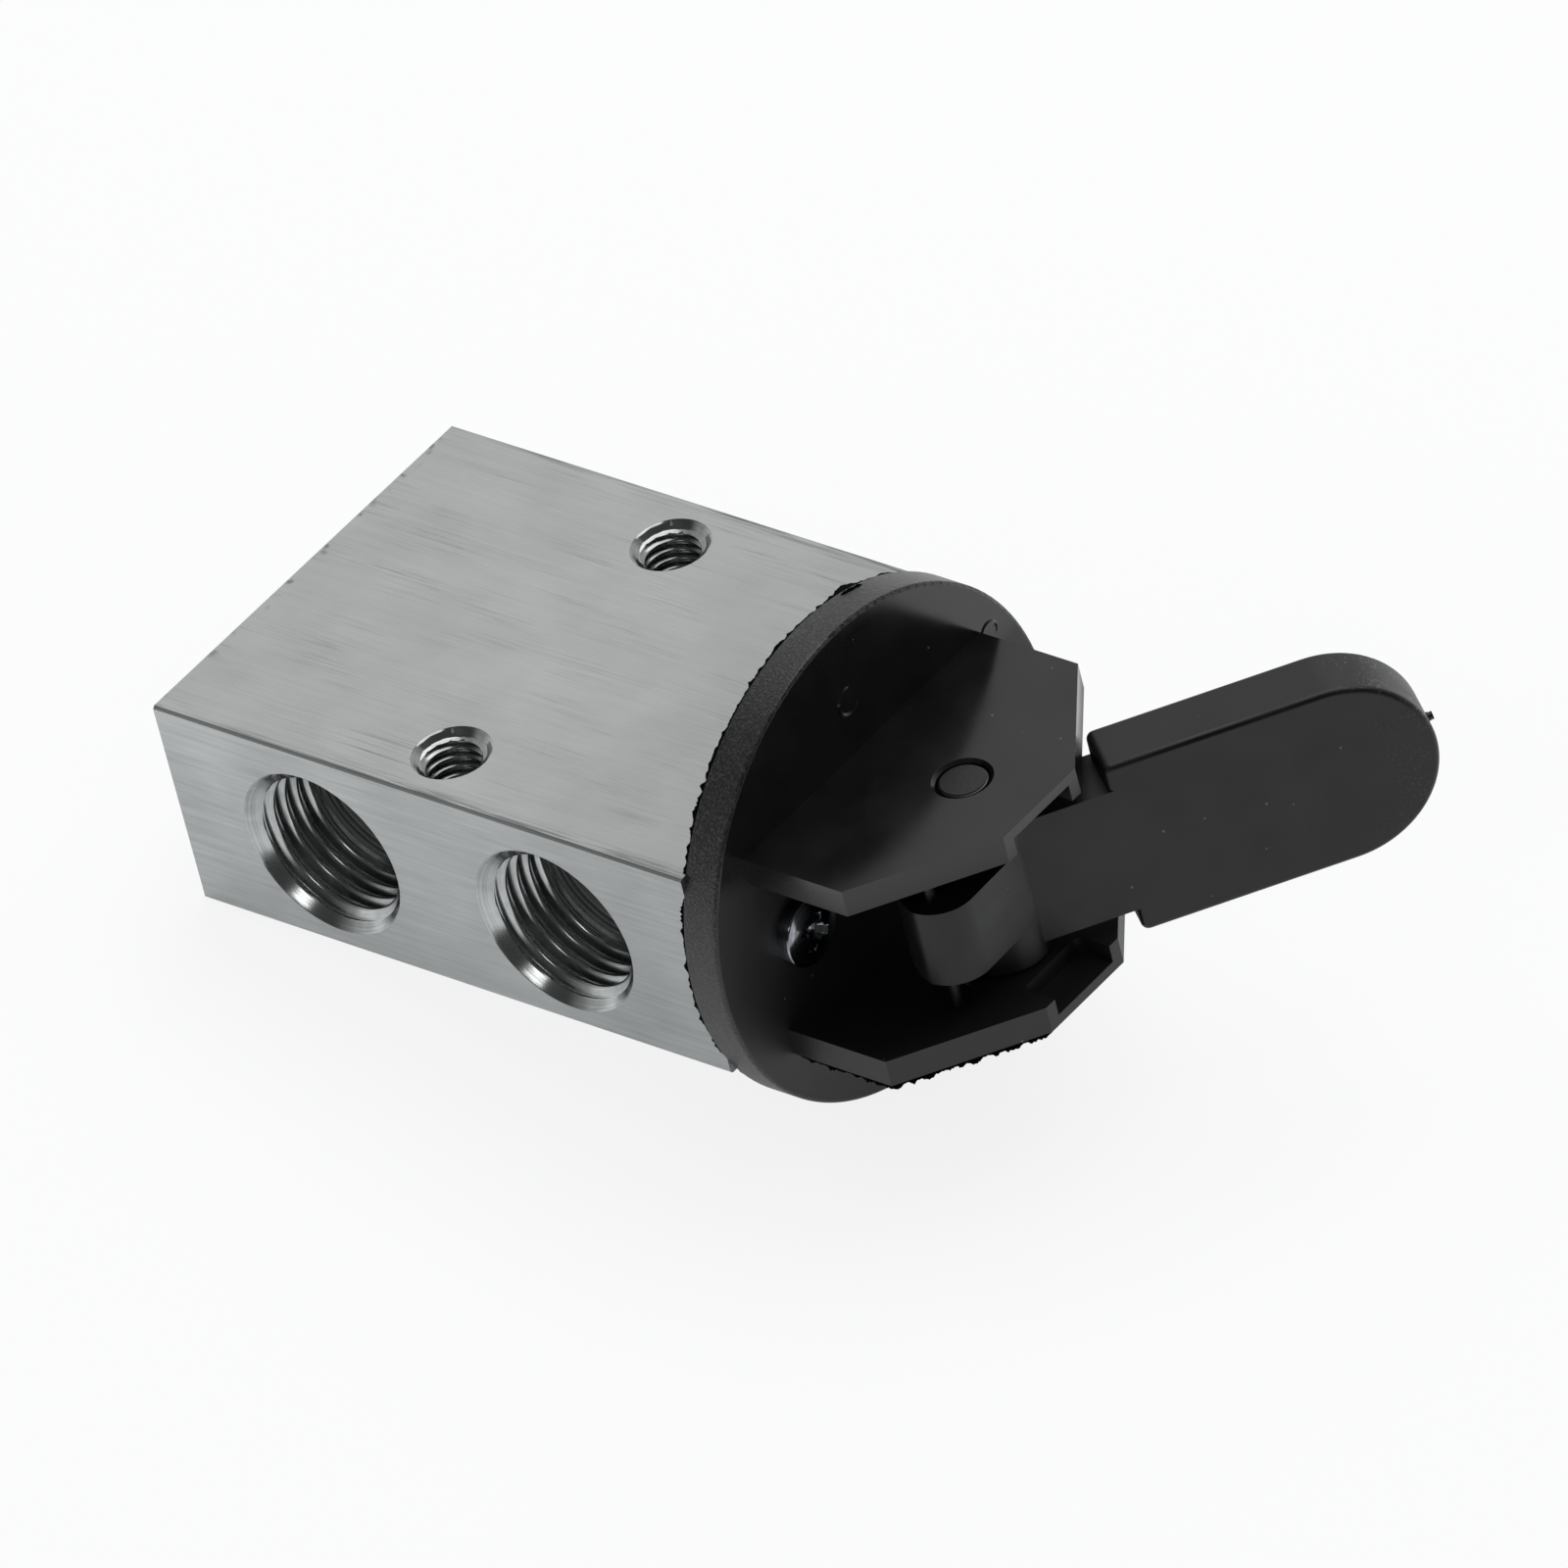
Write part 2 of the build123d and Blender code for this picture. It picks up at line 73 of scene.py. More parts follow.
def linear(hex_colour):
    """Linear RGBA of an sRGB hex colour, by the sRGB curve: c / 12.92, or ((c + 0.055) / 1.055) to 2.4."""
    parts = [int(hex_colour[i:i + 2], 16) / 255 for i in (1, 3, 5)]
    return (*(c / 12.92 if c <= 0.04045 else ((c + 0.055) / 1.055) ** 2.4 for c in parts), 1.0)


def add(tree, kind, inputs=None, **settings):
    """Adds one node to a tree, sets its options, and fills or links its sockets by name or number."""
    made = tree.nodes.new(kind)
    for option, value in settings.items():
        setattr(made, option, value)
    for socket, value in (inputs or {}).items():
        if isinstance(value, bpy.types.Node):
            value = value.outputs[0]
        if isinstance(value, bpy.types.NodeSocket):
            tree.links.new(value, made.inputs[socket])
        else:
            made.inputs[socket].default_value = value
    return made


def empty_material(name):
    """A material whose tree holds only its output, and that tree and output."""
    material = bpy.data.materials.new(name)
    material.use_nodes = True
    material.node_tree.nodes.clear()
    return material, material.node_tree, material.node_tree.nodes.new("ShaderNodeOutputMaterial")


def mesh_piece(name, points, faces, closed=True):
    """A mesh object at the origin from points in metres and faces; a closed one has its poles joined
    and its faces turned outwards."""
    mesh = bpy.data.meshes.new(name)
    mesh.from_pydata(np.asarray(points).reshape(-1, 3).tolist(), [], np.asarray(faces).tolist())
    if closed:
        work = bmesh.new()
        work.from_mesh(mesh)
        bmesh.ops.remove_doubles(work, verts=work.verts, dist=1e-7)
        bmesh.ops.dissolve_degenerate(work, edges=work.edges, dist=1e-8)
        bmesh.ops.recalc_face_normals(work, faces=work.faces)
        work.to_mesh(mesh)
        work.free()
    mesh.update()
    piece = bpy.data.objects.new(name, mesh)
    bpy.context.scene.collection.objects.link(piece)
    return piece


table_side = np.array([cos(slope), 0, -sin(slope)])
corners = np.array([[-1, -1], [1, -1], [1, 1], [-1, 1]]) * table_half
table_points = (np.array(rear_edge) - table_gap * np.array([sin(slope), 0, cos(slope)])
                + corners[:, :1] * table_side + corners[:, 1:] * np.array([0, 1, 0]))
table_top = mesh_piece("table_top", table_points, [[0, 1, 2, 3]], closed=False)
# White laminate: bright enough to light the valve from below. The camera sees it lifted to
# white with only a soft rest of the shadow, and reflections get a smaller lift
material, tree, out = empty_material("white_laminate")
path = add(tree, "ShaderNodeLightPath")
through = add(tree, "ShaderNodeMath",
              {0: path.outputs["Is Camera Ray"], 1: path.outputs["Is Transmission Ray"]},
              operation="MAXIMUM")
seen = add(tree, "ShaderNodeMath", {0: through, 1: 0.84}, operation="MULTIPLY")
mirrored = add(tree, "ShaderNodeMath", {0: path.outputs["Is Glossy Ray"], 1: 0.34, 2: seen},
               operation="MULTIPLY_ADD")
white = add(tree, "ShaderNodeMix", {"Factor": through, "A": linear("#e4e5e8"), "B": linear("#707174")},
            data_type="RGBA")
matt = add(tree, "ShaderNodeBsdfDiffuse", {"Color": white.outputs["Result"]})
glow = add(tree, "ShaderNodeEmission", {"Color": (1, 1, 1, 1), "Strength": mirrored})
both = add(tree, "ShaderNodeAddShader", {0: matt, 1: glow})
back = add(tree, "ShaderNodeNewGeometry")
clear = add(tree, "ShaderNodeBsdfTransparent")
sheet = add(tree, "ShaderNodeMixShader", {0: back.outputs["Backfacing"], 1: both, 2: clear})
tree.links.new(sheet.outputs[0], out.inputs[0])
table_top.data.materials.append(material)

# Light: a white tent, dark where its front opens to the camera, one large soft lamp above
# and behind, and a strip in front that the countersinks of the ports catch.
world = bpy.data.worlds.new("tent")
bpy.context.scene.world = world
world.use_nodes = True
tree = world.node_tree
tree.nodes.clear()
out = tree.nodes.new("ShaderNodeOutputWorld")
path = add(tree, "ShaderNodeLightPath")
place = add(tree, "ShaderNodeTexCoord")
tent_mouth = (0.60, -0.55, 0.58)
toward_front = add(tree, "ShaderNodeVectorMath", {0: place.outputs["Generated"], 1: tent_mouth},
                   operation="DOT_PRODUCT")
opening = add(tree, "ShaderNodeMapRange", {"Value": toward_front.outputs["Value"], "From Min": -0.25,
                                           "From Max": 0.50, "To Min": 0.68, "To Max": 0.06},
              interpolation_type="SMOOTHSTEP")
seen = add(tree, "ShaderNodeMix", {"Factor": path.outputs["Is Glossy Ray"], "A": 0.42, "B": opening})
seen = add(tree, "ShaderNodeMix", {"Factor": path.outputs["Is Camera Ray"], "A": seen, "B": 1.0})
glow = add(tree, "ShaderNodeBackground", {"Color": (1, 1, 1, 1), "Strength": seen})
tree.links.new(glow.outputs[0], out.inputs[0])


def lamp(name, direction, distance, width, height, power):
    """A rectangle lamp that looks at the valve from a direction."""
    data = bpy.data.lights.new(name, "AREA")
    data.shape = "RECTANGLE"
    data.size, data.size_y, data.energy = width, height, power
    made = bpy.data.objects.new(name, data)
    bpy.context.scene.collection.objects.link(made)
    toward = Vector(direction).normalized()
    made.location = toward * distance
    made.rotation_mode = "QUATERNION"
    made.rotation_quaternion = toward.to_track_quat("Z", "Y")


lamp("soft_top", (0.08, 0.40, 0.92), distance=0.9, width=0.9, height=0.9, power=4.6)
lamp("strip_front", (0.16, -0.82, 0.54), distance=0.9, width=0.28, height=0.14, power=0.40)

# Block: sawn from drawn aluminium bar, so the long faces keep the fine lengthwise hairs of
# the die and the ends show the saw. Ports, mounting holes and bore are cut into it.
spool_z = (block_low[2] + block_high[2]) / 2
front_y = block_low[1]
port_pitch = 21.5 * MM
port_z = spool_z - 0.4 * MM
block_middle = [(low + high) / 2 for low, high in zip(block_low, block_high)]
block_half = [(high - low) / 2 for low, high in zip(block_low, block_high)]


def give(node, material):
    """Puts one material on a CAD node."""
    nodes[node].data.materials.clear()
    nodes[node].data.materials.append(material)


def streaks(tree, vector, width, length, axis, detail=3.0):
    """Noise drawn out along one axis: width across and length along, in metres."""
    scale = [1 / width] * 3
    scale[axis] = 1 / length
    stretched = add(tree, "ShaderNodeMapping", {"Vector": vector, "Scale": scale})
    return add(tree, "ShaderNodeTexNoise",
               {"Vector": stretched, "Scale": 1.0, "Detail": detail, "Roughness": 0.6})


def drawn_aluminium():
    """Drawn and sawn aluminium. The die leaves dark hairs 0.07 mm wide and 10 mm long on a silky ground, the
    side with the ports is smoother with faint long streaks, the ends carry saw arcs, and what lies inside the
    outline is a drilled wall with tool marks. Painted shade darkens the port side, the top's edge and the end
    by the flange.
    The eye gets a quiet grey with a lengthwise sheen."""
    material, tree, out = empty_material("drawn_aluminium_bar")
    place = add(tree, "ShaderNodeTexCoord").outputs["Object"]
    axes = add(tree, "ShaderNodeSeparateXYZ", {0: place})
    # How far a point lies inside the block's outline, and masks for the drilled walls, the
    # port side and the sawn ends
    centred = add(tree, "ShaderNodeVectorMath", {0: place, 1: block_middle}, operation="SUBTRACT")
    spread = add(tree, "ShaderNodeVectorMath", {0: centred}, operation="ABSOLUTE")
    inside = add(tree, "ShaderNodeVectorMath", {0: block_half, 1: spread}, operation="SUBTRACT")
    depths = add(tree, "ShaderNodeSeparateXYZ", {0: inside})
    nearest = add(tree, "ShaderNodeMath", {0: depths.outputs[0], 1: depths.outputs[1]}, operation="MINIMUM")
    nearest = add(tree, "ShaderNodeMath", {0: nearest, 1: depths.outputs[2]}, operation="MINIMUM")
    drilled = add(tree, "ShaderNodeMapRange", {"Value": nearest, "From Min": 0.25 * MM,
                                               "From Max": 0.35 * MM})
    port_side = add(tree, "ShaderNodeMapRange", {"Value": axes.outputs["Y"], "From Min": front_y + 0.02 * MM,
                                                 "From Max": front_y + 0.15 * MM, "To Min": 1.0,
                                                 "To Max": 0.0})
    sawn = add(tree, "ShaderNodeMapRange", {"Value": depths.outputs[0], "From Min": 0.01 * MM,
                                            "From Max": 0.05 * MM, "To Min": 1.0, "To Max": 0.0})
    # Die hairs, in patches, and a broad sheen
    hairs = streaks(tree, place, 0.07 * MM, 10 * MM, 0)
    hairs = add(tree, "ShaderNodeMapRange", {"Value": hairs, "From Min": 0.35, "From Max": 0.47,
                                             "To Min": 1.0, "To Max": 0.0})
    patches = streaks(tree, place, 2.5 * MM, 14 * MM, 0, 2.0)
    patches = add(tree, "ShaderNodeMapRange", {"Value": patches, "From Min": 0.44, "From Max": 0.60})
    calm = add(tree, "ShaderNodeMath", {0: port_side, 1: -0.8, 2: 1.0}, operation="MULTIPLY_ADD")
    hairs = add(tree, "ShaderNodeMath", {0: hairs, 1: patches}, operation="MULTIPLY")
    hairs = add(tree, "ShaderNodeMath", {0: hairs, 1: calm}, operation="MULTIPLY")
    silk = streaks(tree, place, 0.16 * MM, 12 * MM, 0)
    bands = streaks(tree, place, 0.8 * MM, 30 * MM, 0, 2.0)
    sheen = add(tree, "ShaderNodeMix", {"Factor": 0.5, "A": silk, "B": bands})
    grain = streaks(tree, place, 0.35 * MM, 9 * MM, 0)
    even = add(tree, "ShaderNodeMix", {"Factor": port_side, "A": sheen, "B": grain})
    ground = add(tree, "ShaderNodeMapRange", {"Value": even, "From Min": 0.3, "From Max": 0.7})
    colour = add(tree, "ShaderNodeMix", {"Factor": ground, "A": linear("#b6b9b8"), "B": linear("#c2c5c4")},
                 data_type="RGBA")
    cloud = add(tree, "ShaderNodeTexNoise", {"Vector": place, "Scale": 1 / (7 * MM), "Detail": 3.0})
    cloud = add(tree, "ShaderNodeMapRange", {"Value": cloud, "From Min": 0.3, "From Max": 0.7, "To Min": 0.93,
                                             "To Max": 1.04})
    # The port side is painted 12 % darker: painted shade
    cloud = add(tree, "ShaderNodeMath", {0: port_side, 1: -0.12, 2: cloud}, operation="MULTIPLY_ADD")
    # Painted shade: towards the flange the colour falls to 0.87, where the flange's rim shades the block
    painted_shade_near_flange = add(tree, "ShaderNodeMapRange", {"Value": axes.outputs["X"], "From Min": 1 * MM,
                                               "From Max": 19 * MM, "To Min": 1.0, "To Max": 0.87},
                  interpolation_type="SMOOTHSTEP")
    cloud = add(tree, "ShaderNodeMath", {0: cloud, 1: painted_shade_near_flange}, operation="MULTIPLY")
    colour = add(tree, "ShaderNodeVectorMath", {0: colour.outputs["Result"], "Scale": cloud},
                 operation="SCALE")
    dark_hair = add(tree, "ShaderNodeMath", {0: hairs, 1: 0.62}, operation="MULTIPLY")
    colour = add(tree, "ShaderNodeMix", {"Factor": dark_hair, "A": colour, "B": linear("#6f7372")},
                 data_type="RGBA")
    # Painted shade along the edge where the top meets the port side, as its rounding would throw it, broken
    # into dark streaks that reach further in towards the lever
    painted_edge_shade = streaks(tree, place, 0.22 * MM, 6 * MM, 0)
    painted_edge_shade = add(tree, "ShaderNodeMapRange", {"Value": painted_edge_shade, "From Min": 0.42, "From Max": 0.60,
                                             "To Min": 0.0, "To Max": 0.85})
    reach = add(tree, "ShaderNodeMapRange", {"Value": axes.outputs["X"], "From Min": block_low[0],
                                             "From Max": block_high[0], "To Min": 0.6 * MM,
                                             "To Max": 1.7 * MM})
    near_front = add(tree, "ShaderNodeMapRange", {"Value": depths.outputs[1], "From Min": 0.0,
                                                  "From Max": reach, "To Min": 1.0, "To Max": 0.0},
                     interpolation_type="SMOOTHSTEP")
    painted_edge_shade = add(tree, "ShaderNodeMath", {0: painted_edge_shade, 1: near_front}, operation="MULTIPLY")
    # A thin line of painted shade right at the edge
    seam = add(tree, "ShaderNodeMapRange", {"Value": depths.outputs[1], "From Min": 0.10 * MM,
                                            "From Max": 0.30 * MM, "To Min": 0.8, "To Max": 0.0})
    painted_edge_shade = add(tree, "ShaderNodeMath", {0: painted_edge_shade, 1: seam}, operation="MAXIMUM")
    on_top = add(tree, "ShaderNodeMapRange", {"Value": axes.outputs["Z"], "From Min": -0.1 * MM,
                                              "From Max": 0.0})
    painted_edge_shade = add(tree, "ShaderNodeMath", {0: painted_edge_shade, 1: on_top}, operation="MULTIPLY")
    colour = add(tree, "ShaderNodeMix", {"Factor": painted_edge_shade, "A": colour.outputs["Result"],
                                         "B": linear("#5c605f")}, data_type="RGBA")
    # Small burrs that the saw left along the top edge of the rear end
    near_end = add(tree, "ShaderNodeMapRange", {"Value": depths.outputs[0], "From Min": 0.2 * MM,
                                                "From Max": 0.9 * MM, "To Min": 1.0, "To Max": 0.0})
    near_top = add(tree, "ShaderNodeMapRange", {"Value": depths.outputs[2], "From Min": 0.0,
                                                "From Max": 0.3 * MM, "To Min": 1.0, "To Max": 0.0})
    burrs = add(tree, "ShaderNodeTexNoise", {"Vector": place, "Scale": 1 / (1.1 * MM), "Detail": 2.0})
    burrs = add(tree, "ShaderNodeMapRange", {"Value": burrs, "From Min": 0.56, "From Max": 0.72})
    burrs = add(tree, "ShaderNodeMath", {0: burrs, 1: near_end}, operation="MULTIPLY")
    burrs = add(tree, "ShaderNodeMath", {0: burrs, 1: near_top}, operation="MULTIPLY")
    colour = add(tree, "ShaderNodeMix", {"Factor": burrs, "A": colour.outputs["Result"],
                                         "B": linear("#7d807f")}, data_type="RGBA")
    # Drilled walls and floors: tool marks round the axis of each port, so noise on the
    # distance from that axis and on the depth
    beside = add(tree, "ShaderNodeMath", {0: axes.outputs["X"]}, operation="ABSOLUTE")
    beside = add(tree, "ShaderNodeMath", {0: beside, 1: port_pitch / 2}, operation="SUBTRACT")
    above = add(tree, "ShaderNodeMath", {0: axes.outputs["Z"], 1: port_z}, operation="SUBTRACT")
    from_axis = add(tree, "ShaderNodeCombineXYZ", {0: beside, 1: above})
    from_axis = add(tree, "ShaderNodeVectorMath", {0: from_axis}, operation="LENGTH")
    rings = add(tree, "ShaderNodeCombineXYZ", {0: from_axis.outputs["Value"], 1: axes.outputs["Y"]})
    marks = add(tree, "ShaderNodeTexNoise", {"Vector": rings, "Scale": 1 / (0.16 * MM), "Detail": 2.0})
    marks = add(tree, "ShaderNodeMapRange", {"Value": marks, "From Min": 0.35, "From Max": 0.65})
    wall = add(tree, "ShaderNodeMix", {"Factor": marks, "A": linear("#7b7e7d"), "B": linear("#f1f2f1")},
               data_type="RGBA")
    colour = add(tree, "ShaderNodeMix", {"Factor": drilled, "A": colour.outputs["Result"],
                                         "B": wall.outputs["Result"]}, data_type="RGBA")
    # Saw arcs: rings round a far centre, 0.25 mm apart
    saw_middle = (0, 0.06, 0.09)
    arc_pitch = 0.25 * MM
    from_blade = add(tree, "ShaderNodeVectorMath", {0: place, 1: saw_middle}, operation="DISTANCE")
    arcs = add(tree, "ShaderNodeMath", {0: from_blade.outputs["Value"], 1: 1 / arc_pitch},
               operation="MULTIPLY")
    arcs = add(tree, "ShaderNodeTexNoise", {"W": arcs, "Scale": 1.0, "Detail": 2.0}, noise_dimensions="1D")
    dark_arc = add(tree, "ShaderNodeMapRange", {"Value": arcs, "From Min": 0.35, "From Max": 0.65,
                                                "To Min": 0.30, "To Max": 0.0})
    dark_arc = add(tree, "ShaderNodeMath", {0: dark_arc, 1: sawn}, operation="MULTIPLY")
    colour = add(tree, "ShaderNodeMix", {"Factor": dark_arc, "A": colour.outputs["Result"],
                                         "B": linear("#7d807f")}, data_type="RGBA")
    # Height: hairs are scratches, grain is fine, saw arcs are deepest
    height = add(tree, "ShaderNodeMath", {0: hairs, 1: -0.8, 2: ground}, operation="MULTIPLY_ADD")
    height = add(tree, "ShaderNodeMix", {"Factor": sawn, "A": height, "B": arcs})
    height = add(tree, "ShaderNodeMix", {"Factor": drilled, "A": height, "B": marks})
    deep = add(tree, "ShaderNodeMath", {0: drilled, 1: sawn}, operation="MAXIMUM")
    deep = add(tree, "ShaderNodeMapRange", {"Value": deep, "To Min": 0.35, "To Max": 0.9})
    bump = add(tree, "ShaderNodeBump", {"Height": height, "Strength": deep, "Distance": 0.014 * MM})
    rough = add(tree, "ShaderNodeMapRange", {"Value": even, "From Min": 0.35, "From Max": 0.65,
                                             "To Min": 0.46, "To Max": 0.36})
    rough = add(tree, "ShaderNodeMix", {"Factor": drilled, "A": rough, "B": 0.55})
    shader = add(tree, "ShaderNodeBsdfPrincipled", {"Base Color": colour.outputs["Result"], "Metallic": 1.0,
                                                    "Roughness": rough, "Normal": bump})
    tree.links.new(shader.outputs[0], out.inputs[0])
    return material


give("valve_body", drawn_aluminium())

# Tapped holes: two G 1/4 ports, 19 turns to the inch, and two M5 mounting holes right through
# the block. Each is cut by a tap after a countersink that chattered, and has sharp crests.
mount_pitch = 25.5 * MM
block_height = block_high[2] - block_low[2]
skin = 0.01 * MM


def grid_faces(rows, columns, rows_close=True, columns_close=True):
    """Quads of a grid of points, row by row, whose rows and columns may each close into a ring."""
    r, c = np.meshgrid(np.arange(rows - (not rows_close)), np.arange(columns - (not columns_close)),
                       indexing="ij")
    down, along = (r + 1) % rows, (c + 1) % columns
    quads = [r * columns + c, r * columns + along, down * columns + along, down * columns + c]
    return np.stack(quads, -1).reshape(-1, 4)


def tapped_metal(name, centre, axis, light, dark, roughness, mark=0.09 * MM):
    """Metal cut by a turning tool: fine marks run round the tool's axis, so noise depends only on the
    distance from that axis and the place along it. It looks bright, with crisp light and dark."""
    material, tree, out = empty_material(name)
    place = add(tree, "ShaderNodeTexCoord").outputs["Object"]
    centred = add(tree, "ShaderNodeVectorMath", {0: place, 1: centre}, operation="SUBTRACT")
    keep = [1.0, 1.0, 1.0]
    keep[axis] = 0.0
    across = add(tree, "ShaderNodeVectorMath", {0: centred, 1: keep}, operation="MULTIPLY")
    radius = add(tree, "ShaderNodeVectorMath", {0: across}, operation="LENGTH")
    along = add(tree, "ShaderNodeSeparateXYZ", {0: centred})
    rings = add(tree, "ShaderNodeCombineXYZ", {0: radius.outputs["Value"], 1: along.outputs[axis]})
    lines = add(tree, "ShaderNodeTexNoise", {"Vector": rings, "Scale": 1 / mark, "Detail": 2.0})
    stain = add(tree, "ShaderNodeTexNoise", {"Vector": place, "Scale": 1 / (1.2 * MM), "Detail": 3.0})
    blend = add(tree, "ShaderNodeMix", {"Factor": 0.4, "A": lines, "B": stain})
    tone = add(tree, "ShaderNodeMapRange", {"Value": blend, "From Min": 0.35, "From Max": 0.65})
    colour = add(tree, "ShaderNodeMix", {"Factor": tone, "A": linear(dark), "B": linear(light)},
                 data_type="RGBA")
    rough = add(tree, "ShaderNodeMapRange", {"Value": tone, "To Min": roughness * 1.2,
                                             "To Max": roughness * 0.85})
    bump = add(tree, "ShaderNodeBump", {"Height": lines, "Strength": 0.25, "Distance": 0.008 * MM})
    shader = add(tree, "ShaderNodeBsdfPrincipled", {"Base Color": colour.outputs["Result"], "Metallic": 1.0,
                                                    "Roughness": rough, "Normal": bump})
    tree.links.new(shader.outputs[0], out.inputs[0])
    return material


def tapped_skin(name, centre, axis, depth, major, minor, pitch, mouth, slope, facets, shake, through=False):
    """The skin of a tapped hole. Row i of the grid follows the helix, at depth d = pitch * (i / 20 - 1
    + t / (2 pi)) held between 0 and the hole's depth, so its place v = i / 20 in the thread is the same
    all round: radius = minor + (major - minor) * (1 - clipped triangle of v). At the mouth the radius is
    at least the countersink's cone, mouth - d down to the major radius and then slope mm in per mm, with
    a chatter wave of size shake that the tool left, one bump per facet. A plain ring behind the thread
    closes the skin."""
    turns, per_pitch = 180, 20
    rows = int(np.ceil(depth / pitch + 2)) * per_pitch + 1
    i = np.arange(rows)[:, None]
    t = np.linspace(0, 2 * pi, turns, endpoint=False)[None, :]
    d = np.clip(pitch * (i / per_pitch - 1 + t / (2 * pi)), 0, depth)
    wave = np.clip((np.abs((i / per_pitch) % 1.0 - 0.5) * 2 - 0.16) / 0.68, 0, 1)
    runout = 1.0 if through else np.clip((depth - d) / pitch, 0, 1)
    radius = minor + (major - minor) * (1 - wave) * runout
    chatter = 0.58 * np.sign(np.sin(facets * t)) * np.abs(np.sin(facets * t)) ** 0.5
    chatter = shake * (chatter + 0.42 * np.sin((facets * 2 + 1) * t + 1.0))
    chamfer = mouth - major
    for into in ((d, depth - d) if through else (d,)):
        cone = np.where(into < chamfer, mouth - skin - into, major - skin - slope * (into - chamfer))
        fade = np.clip(1 - into / (2.2 * chamfer), 0, 1) * np.clip(into / (0.08 * MM), 0, 1)
        radius = np.maximum(radius, cone + (chatter - 0.9 * shake) * fade)
    side = np.array([1.0, 0, 0])
    other = np.cross(axis, side)

    def placed(r, depths):
        """Points at radius r and depth in the hole, for every turn angle t."""
        return (np.array(centre) + depths[..., None] * np.array(axis, float)
                + (r * np.cos(t))[..., None] * side + (r * np.sin(t))[..., None] * other)

    first = chamfer + 0.1 * MM
    last = depth - first if through else depth
    wall = major + 0.03 * MM
    rim = np.ones((4, turns))
    back = placed(np.array([[radius[0, 0]], [wall], [wall], [radius[-1, -1]]]) * rim,
                  np.array([[0.0], [first], [last], [depth]]) * rim)
    spiral = grid_faces(rows, turns, False, False)
    row = np.arange(rows - 1 - per_pitch)
    start, end = (row + per_pitch) * turns, row * turns + turns - 1
    seam = np.stack([end, start, start + turns, end + turns], -1)
    points = np.concatenate([placed(radius, d).reshape(-1, 3), back.reshape(-1, 3)])
    shell = grid_faces(4, turns, False) + rows * turns
    piece = mesh_piece(name, points, np.concatenate([spiral, seam, shell]))
    piece.data.shade_smooth()
    piece.data.set_sharp_from_angle(angle=radians(38))
    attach(piece, "valve")
    return piece


# G 1/4: 0.72 mm deep with the run-out above the core drill, under a plain 45 degree countersink
for name, side in (("outlet_thread", -1), ("supply_thread", 1)):
    middle = (side * port_pitch / 2, front_y, port_z)
    thread = tapped_skin(name, middle, (0, 1, 0), depth=6.65 * MM, major=6.58 * MM, minor=5.86 * MM,
                         pitch=1.337 * MM, mouth=7.0 * MM, slope=1.0, facets=9, shake=0.020 * MM)
    thread.data.materials.append(tapped_metal("tapped_" + name, middle, 1, "#c3c6c5", "#9ea1a0", 0.19))

# M5: 0.8 mm pitch, countersunk at both ends
for name, side in (("mount_thread_front", -1), ("mount_thread_rear", 1)):
    middle = (0, side * mount_pitch / 2, block_high[2])
    thread = tapped_skin(name, middle, (0, 0, -1), depth=block_height, major=2.5 * MM, minor=2.07 * MM,
                         pitch=0.8 * MM, mouth=3.0 * MM, slope=3.5, facets=5, shake=0.045 * MM, through=True)
    # Its tones are darker than the ports' threads: painted shade, for more black between the crests
    thread.data.materials.append(tapped_metal("tapped_" + name, middle, 2, "#b4b7b6", "#8e9190", 0.2))

# Rear end: a turned plug holds the spring, with a porous bronze disc in its vent, and an open
# ring of spring steel in a groove of the block keeps it in.
on_spool = (0, 0, spool_z)
give("end_plug", tapped_metal("turned_aluminium", on_spool, 0, "#c6c9c9", "#adb0b0", 0.28, 0.12 * MM))


def sintered_bronze():
    """Bronze grains sintered together, drawn 0.35 mm wide. Each is a small round bump with its own tint,
    and the gaps between them are pores painted dark as painted shade, so the disc looks granular and matt."""
    material, tree, out = empty_material("sintered_bronze")
    place = add(tree, "ShaderNodeTexCoord").outputs["Object"]
    cells = add(tree, "ShaderNodeTexVoronoi", {"Vector": place, "Scale": 1 / (0.35 * MM)})
    pore = add(tree, "ShaderNodeMapRange", {"Value": cells.outputs["Distance"], "From Min": 0.35,
                                            "From Max": 0.62})
    tint = add(tree, "ShaderNodeSeparateColor", {0: cells.outputs["Color"]})
    grain = add(tree, "ShaderNodeMix", {"Factor": tint.outputs[0], "A": linear("#b08a55"),
                                        "B": linear("#8a6638")}, data_type="RGBA")
    # Pores painted dark brown: painted shade in the gaps between the grains
    colour = add(tree, "ShaderNodeMix", {"Factor": pore, "A": grain.outputs["Result"],
                                         "B": linear("#2a1e10")}, data_type="RGBA")
    bump = add(tree, "ShaderNodeBump", {"Height": pore, "Strength": 0.9, "Distance": 0.08 * MM}, invert=True)
    shader = add(tree, "ShaderNodeBsdfPrincipled", {"Base Color": colour.outputs["Result"], "Metallic": 1.0,
                                                    "Roughness": 0.5, "Normal": bump})
    tree.links.new(shader.outputs[0], out.inputs[0])
    return material


give("exhaust_filter", sintered_bronze())
drawn_wire = tapped_metal("drawn_spring_steel", on_spool, 0, "#97999b", "#77797c", 0.32, 0.3 * MM)
give("retaining_ring", drawn_wire)
give("return_spring", drawn_wire)

# Spool: a ground steel rod that slides in turned black acetal cages, with rings of nitrile
# rubber between them and a turned acetal cap on its end.
give("spool", tapped_metal("ground_steel", on_spool, 0, "#b9bbbd", "#a2a5a7", 0.16, 0.06 * MM))


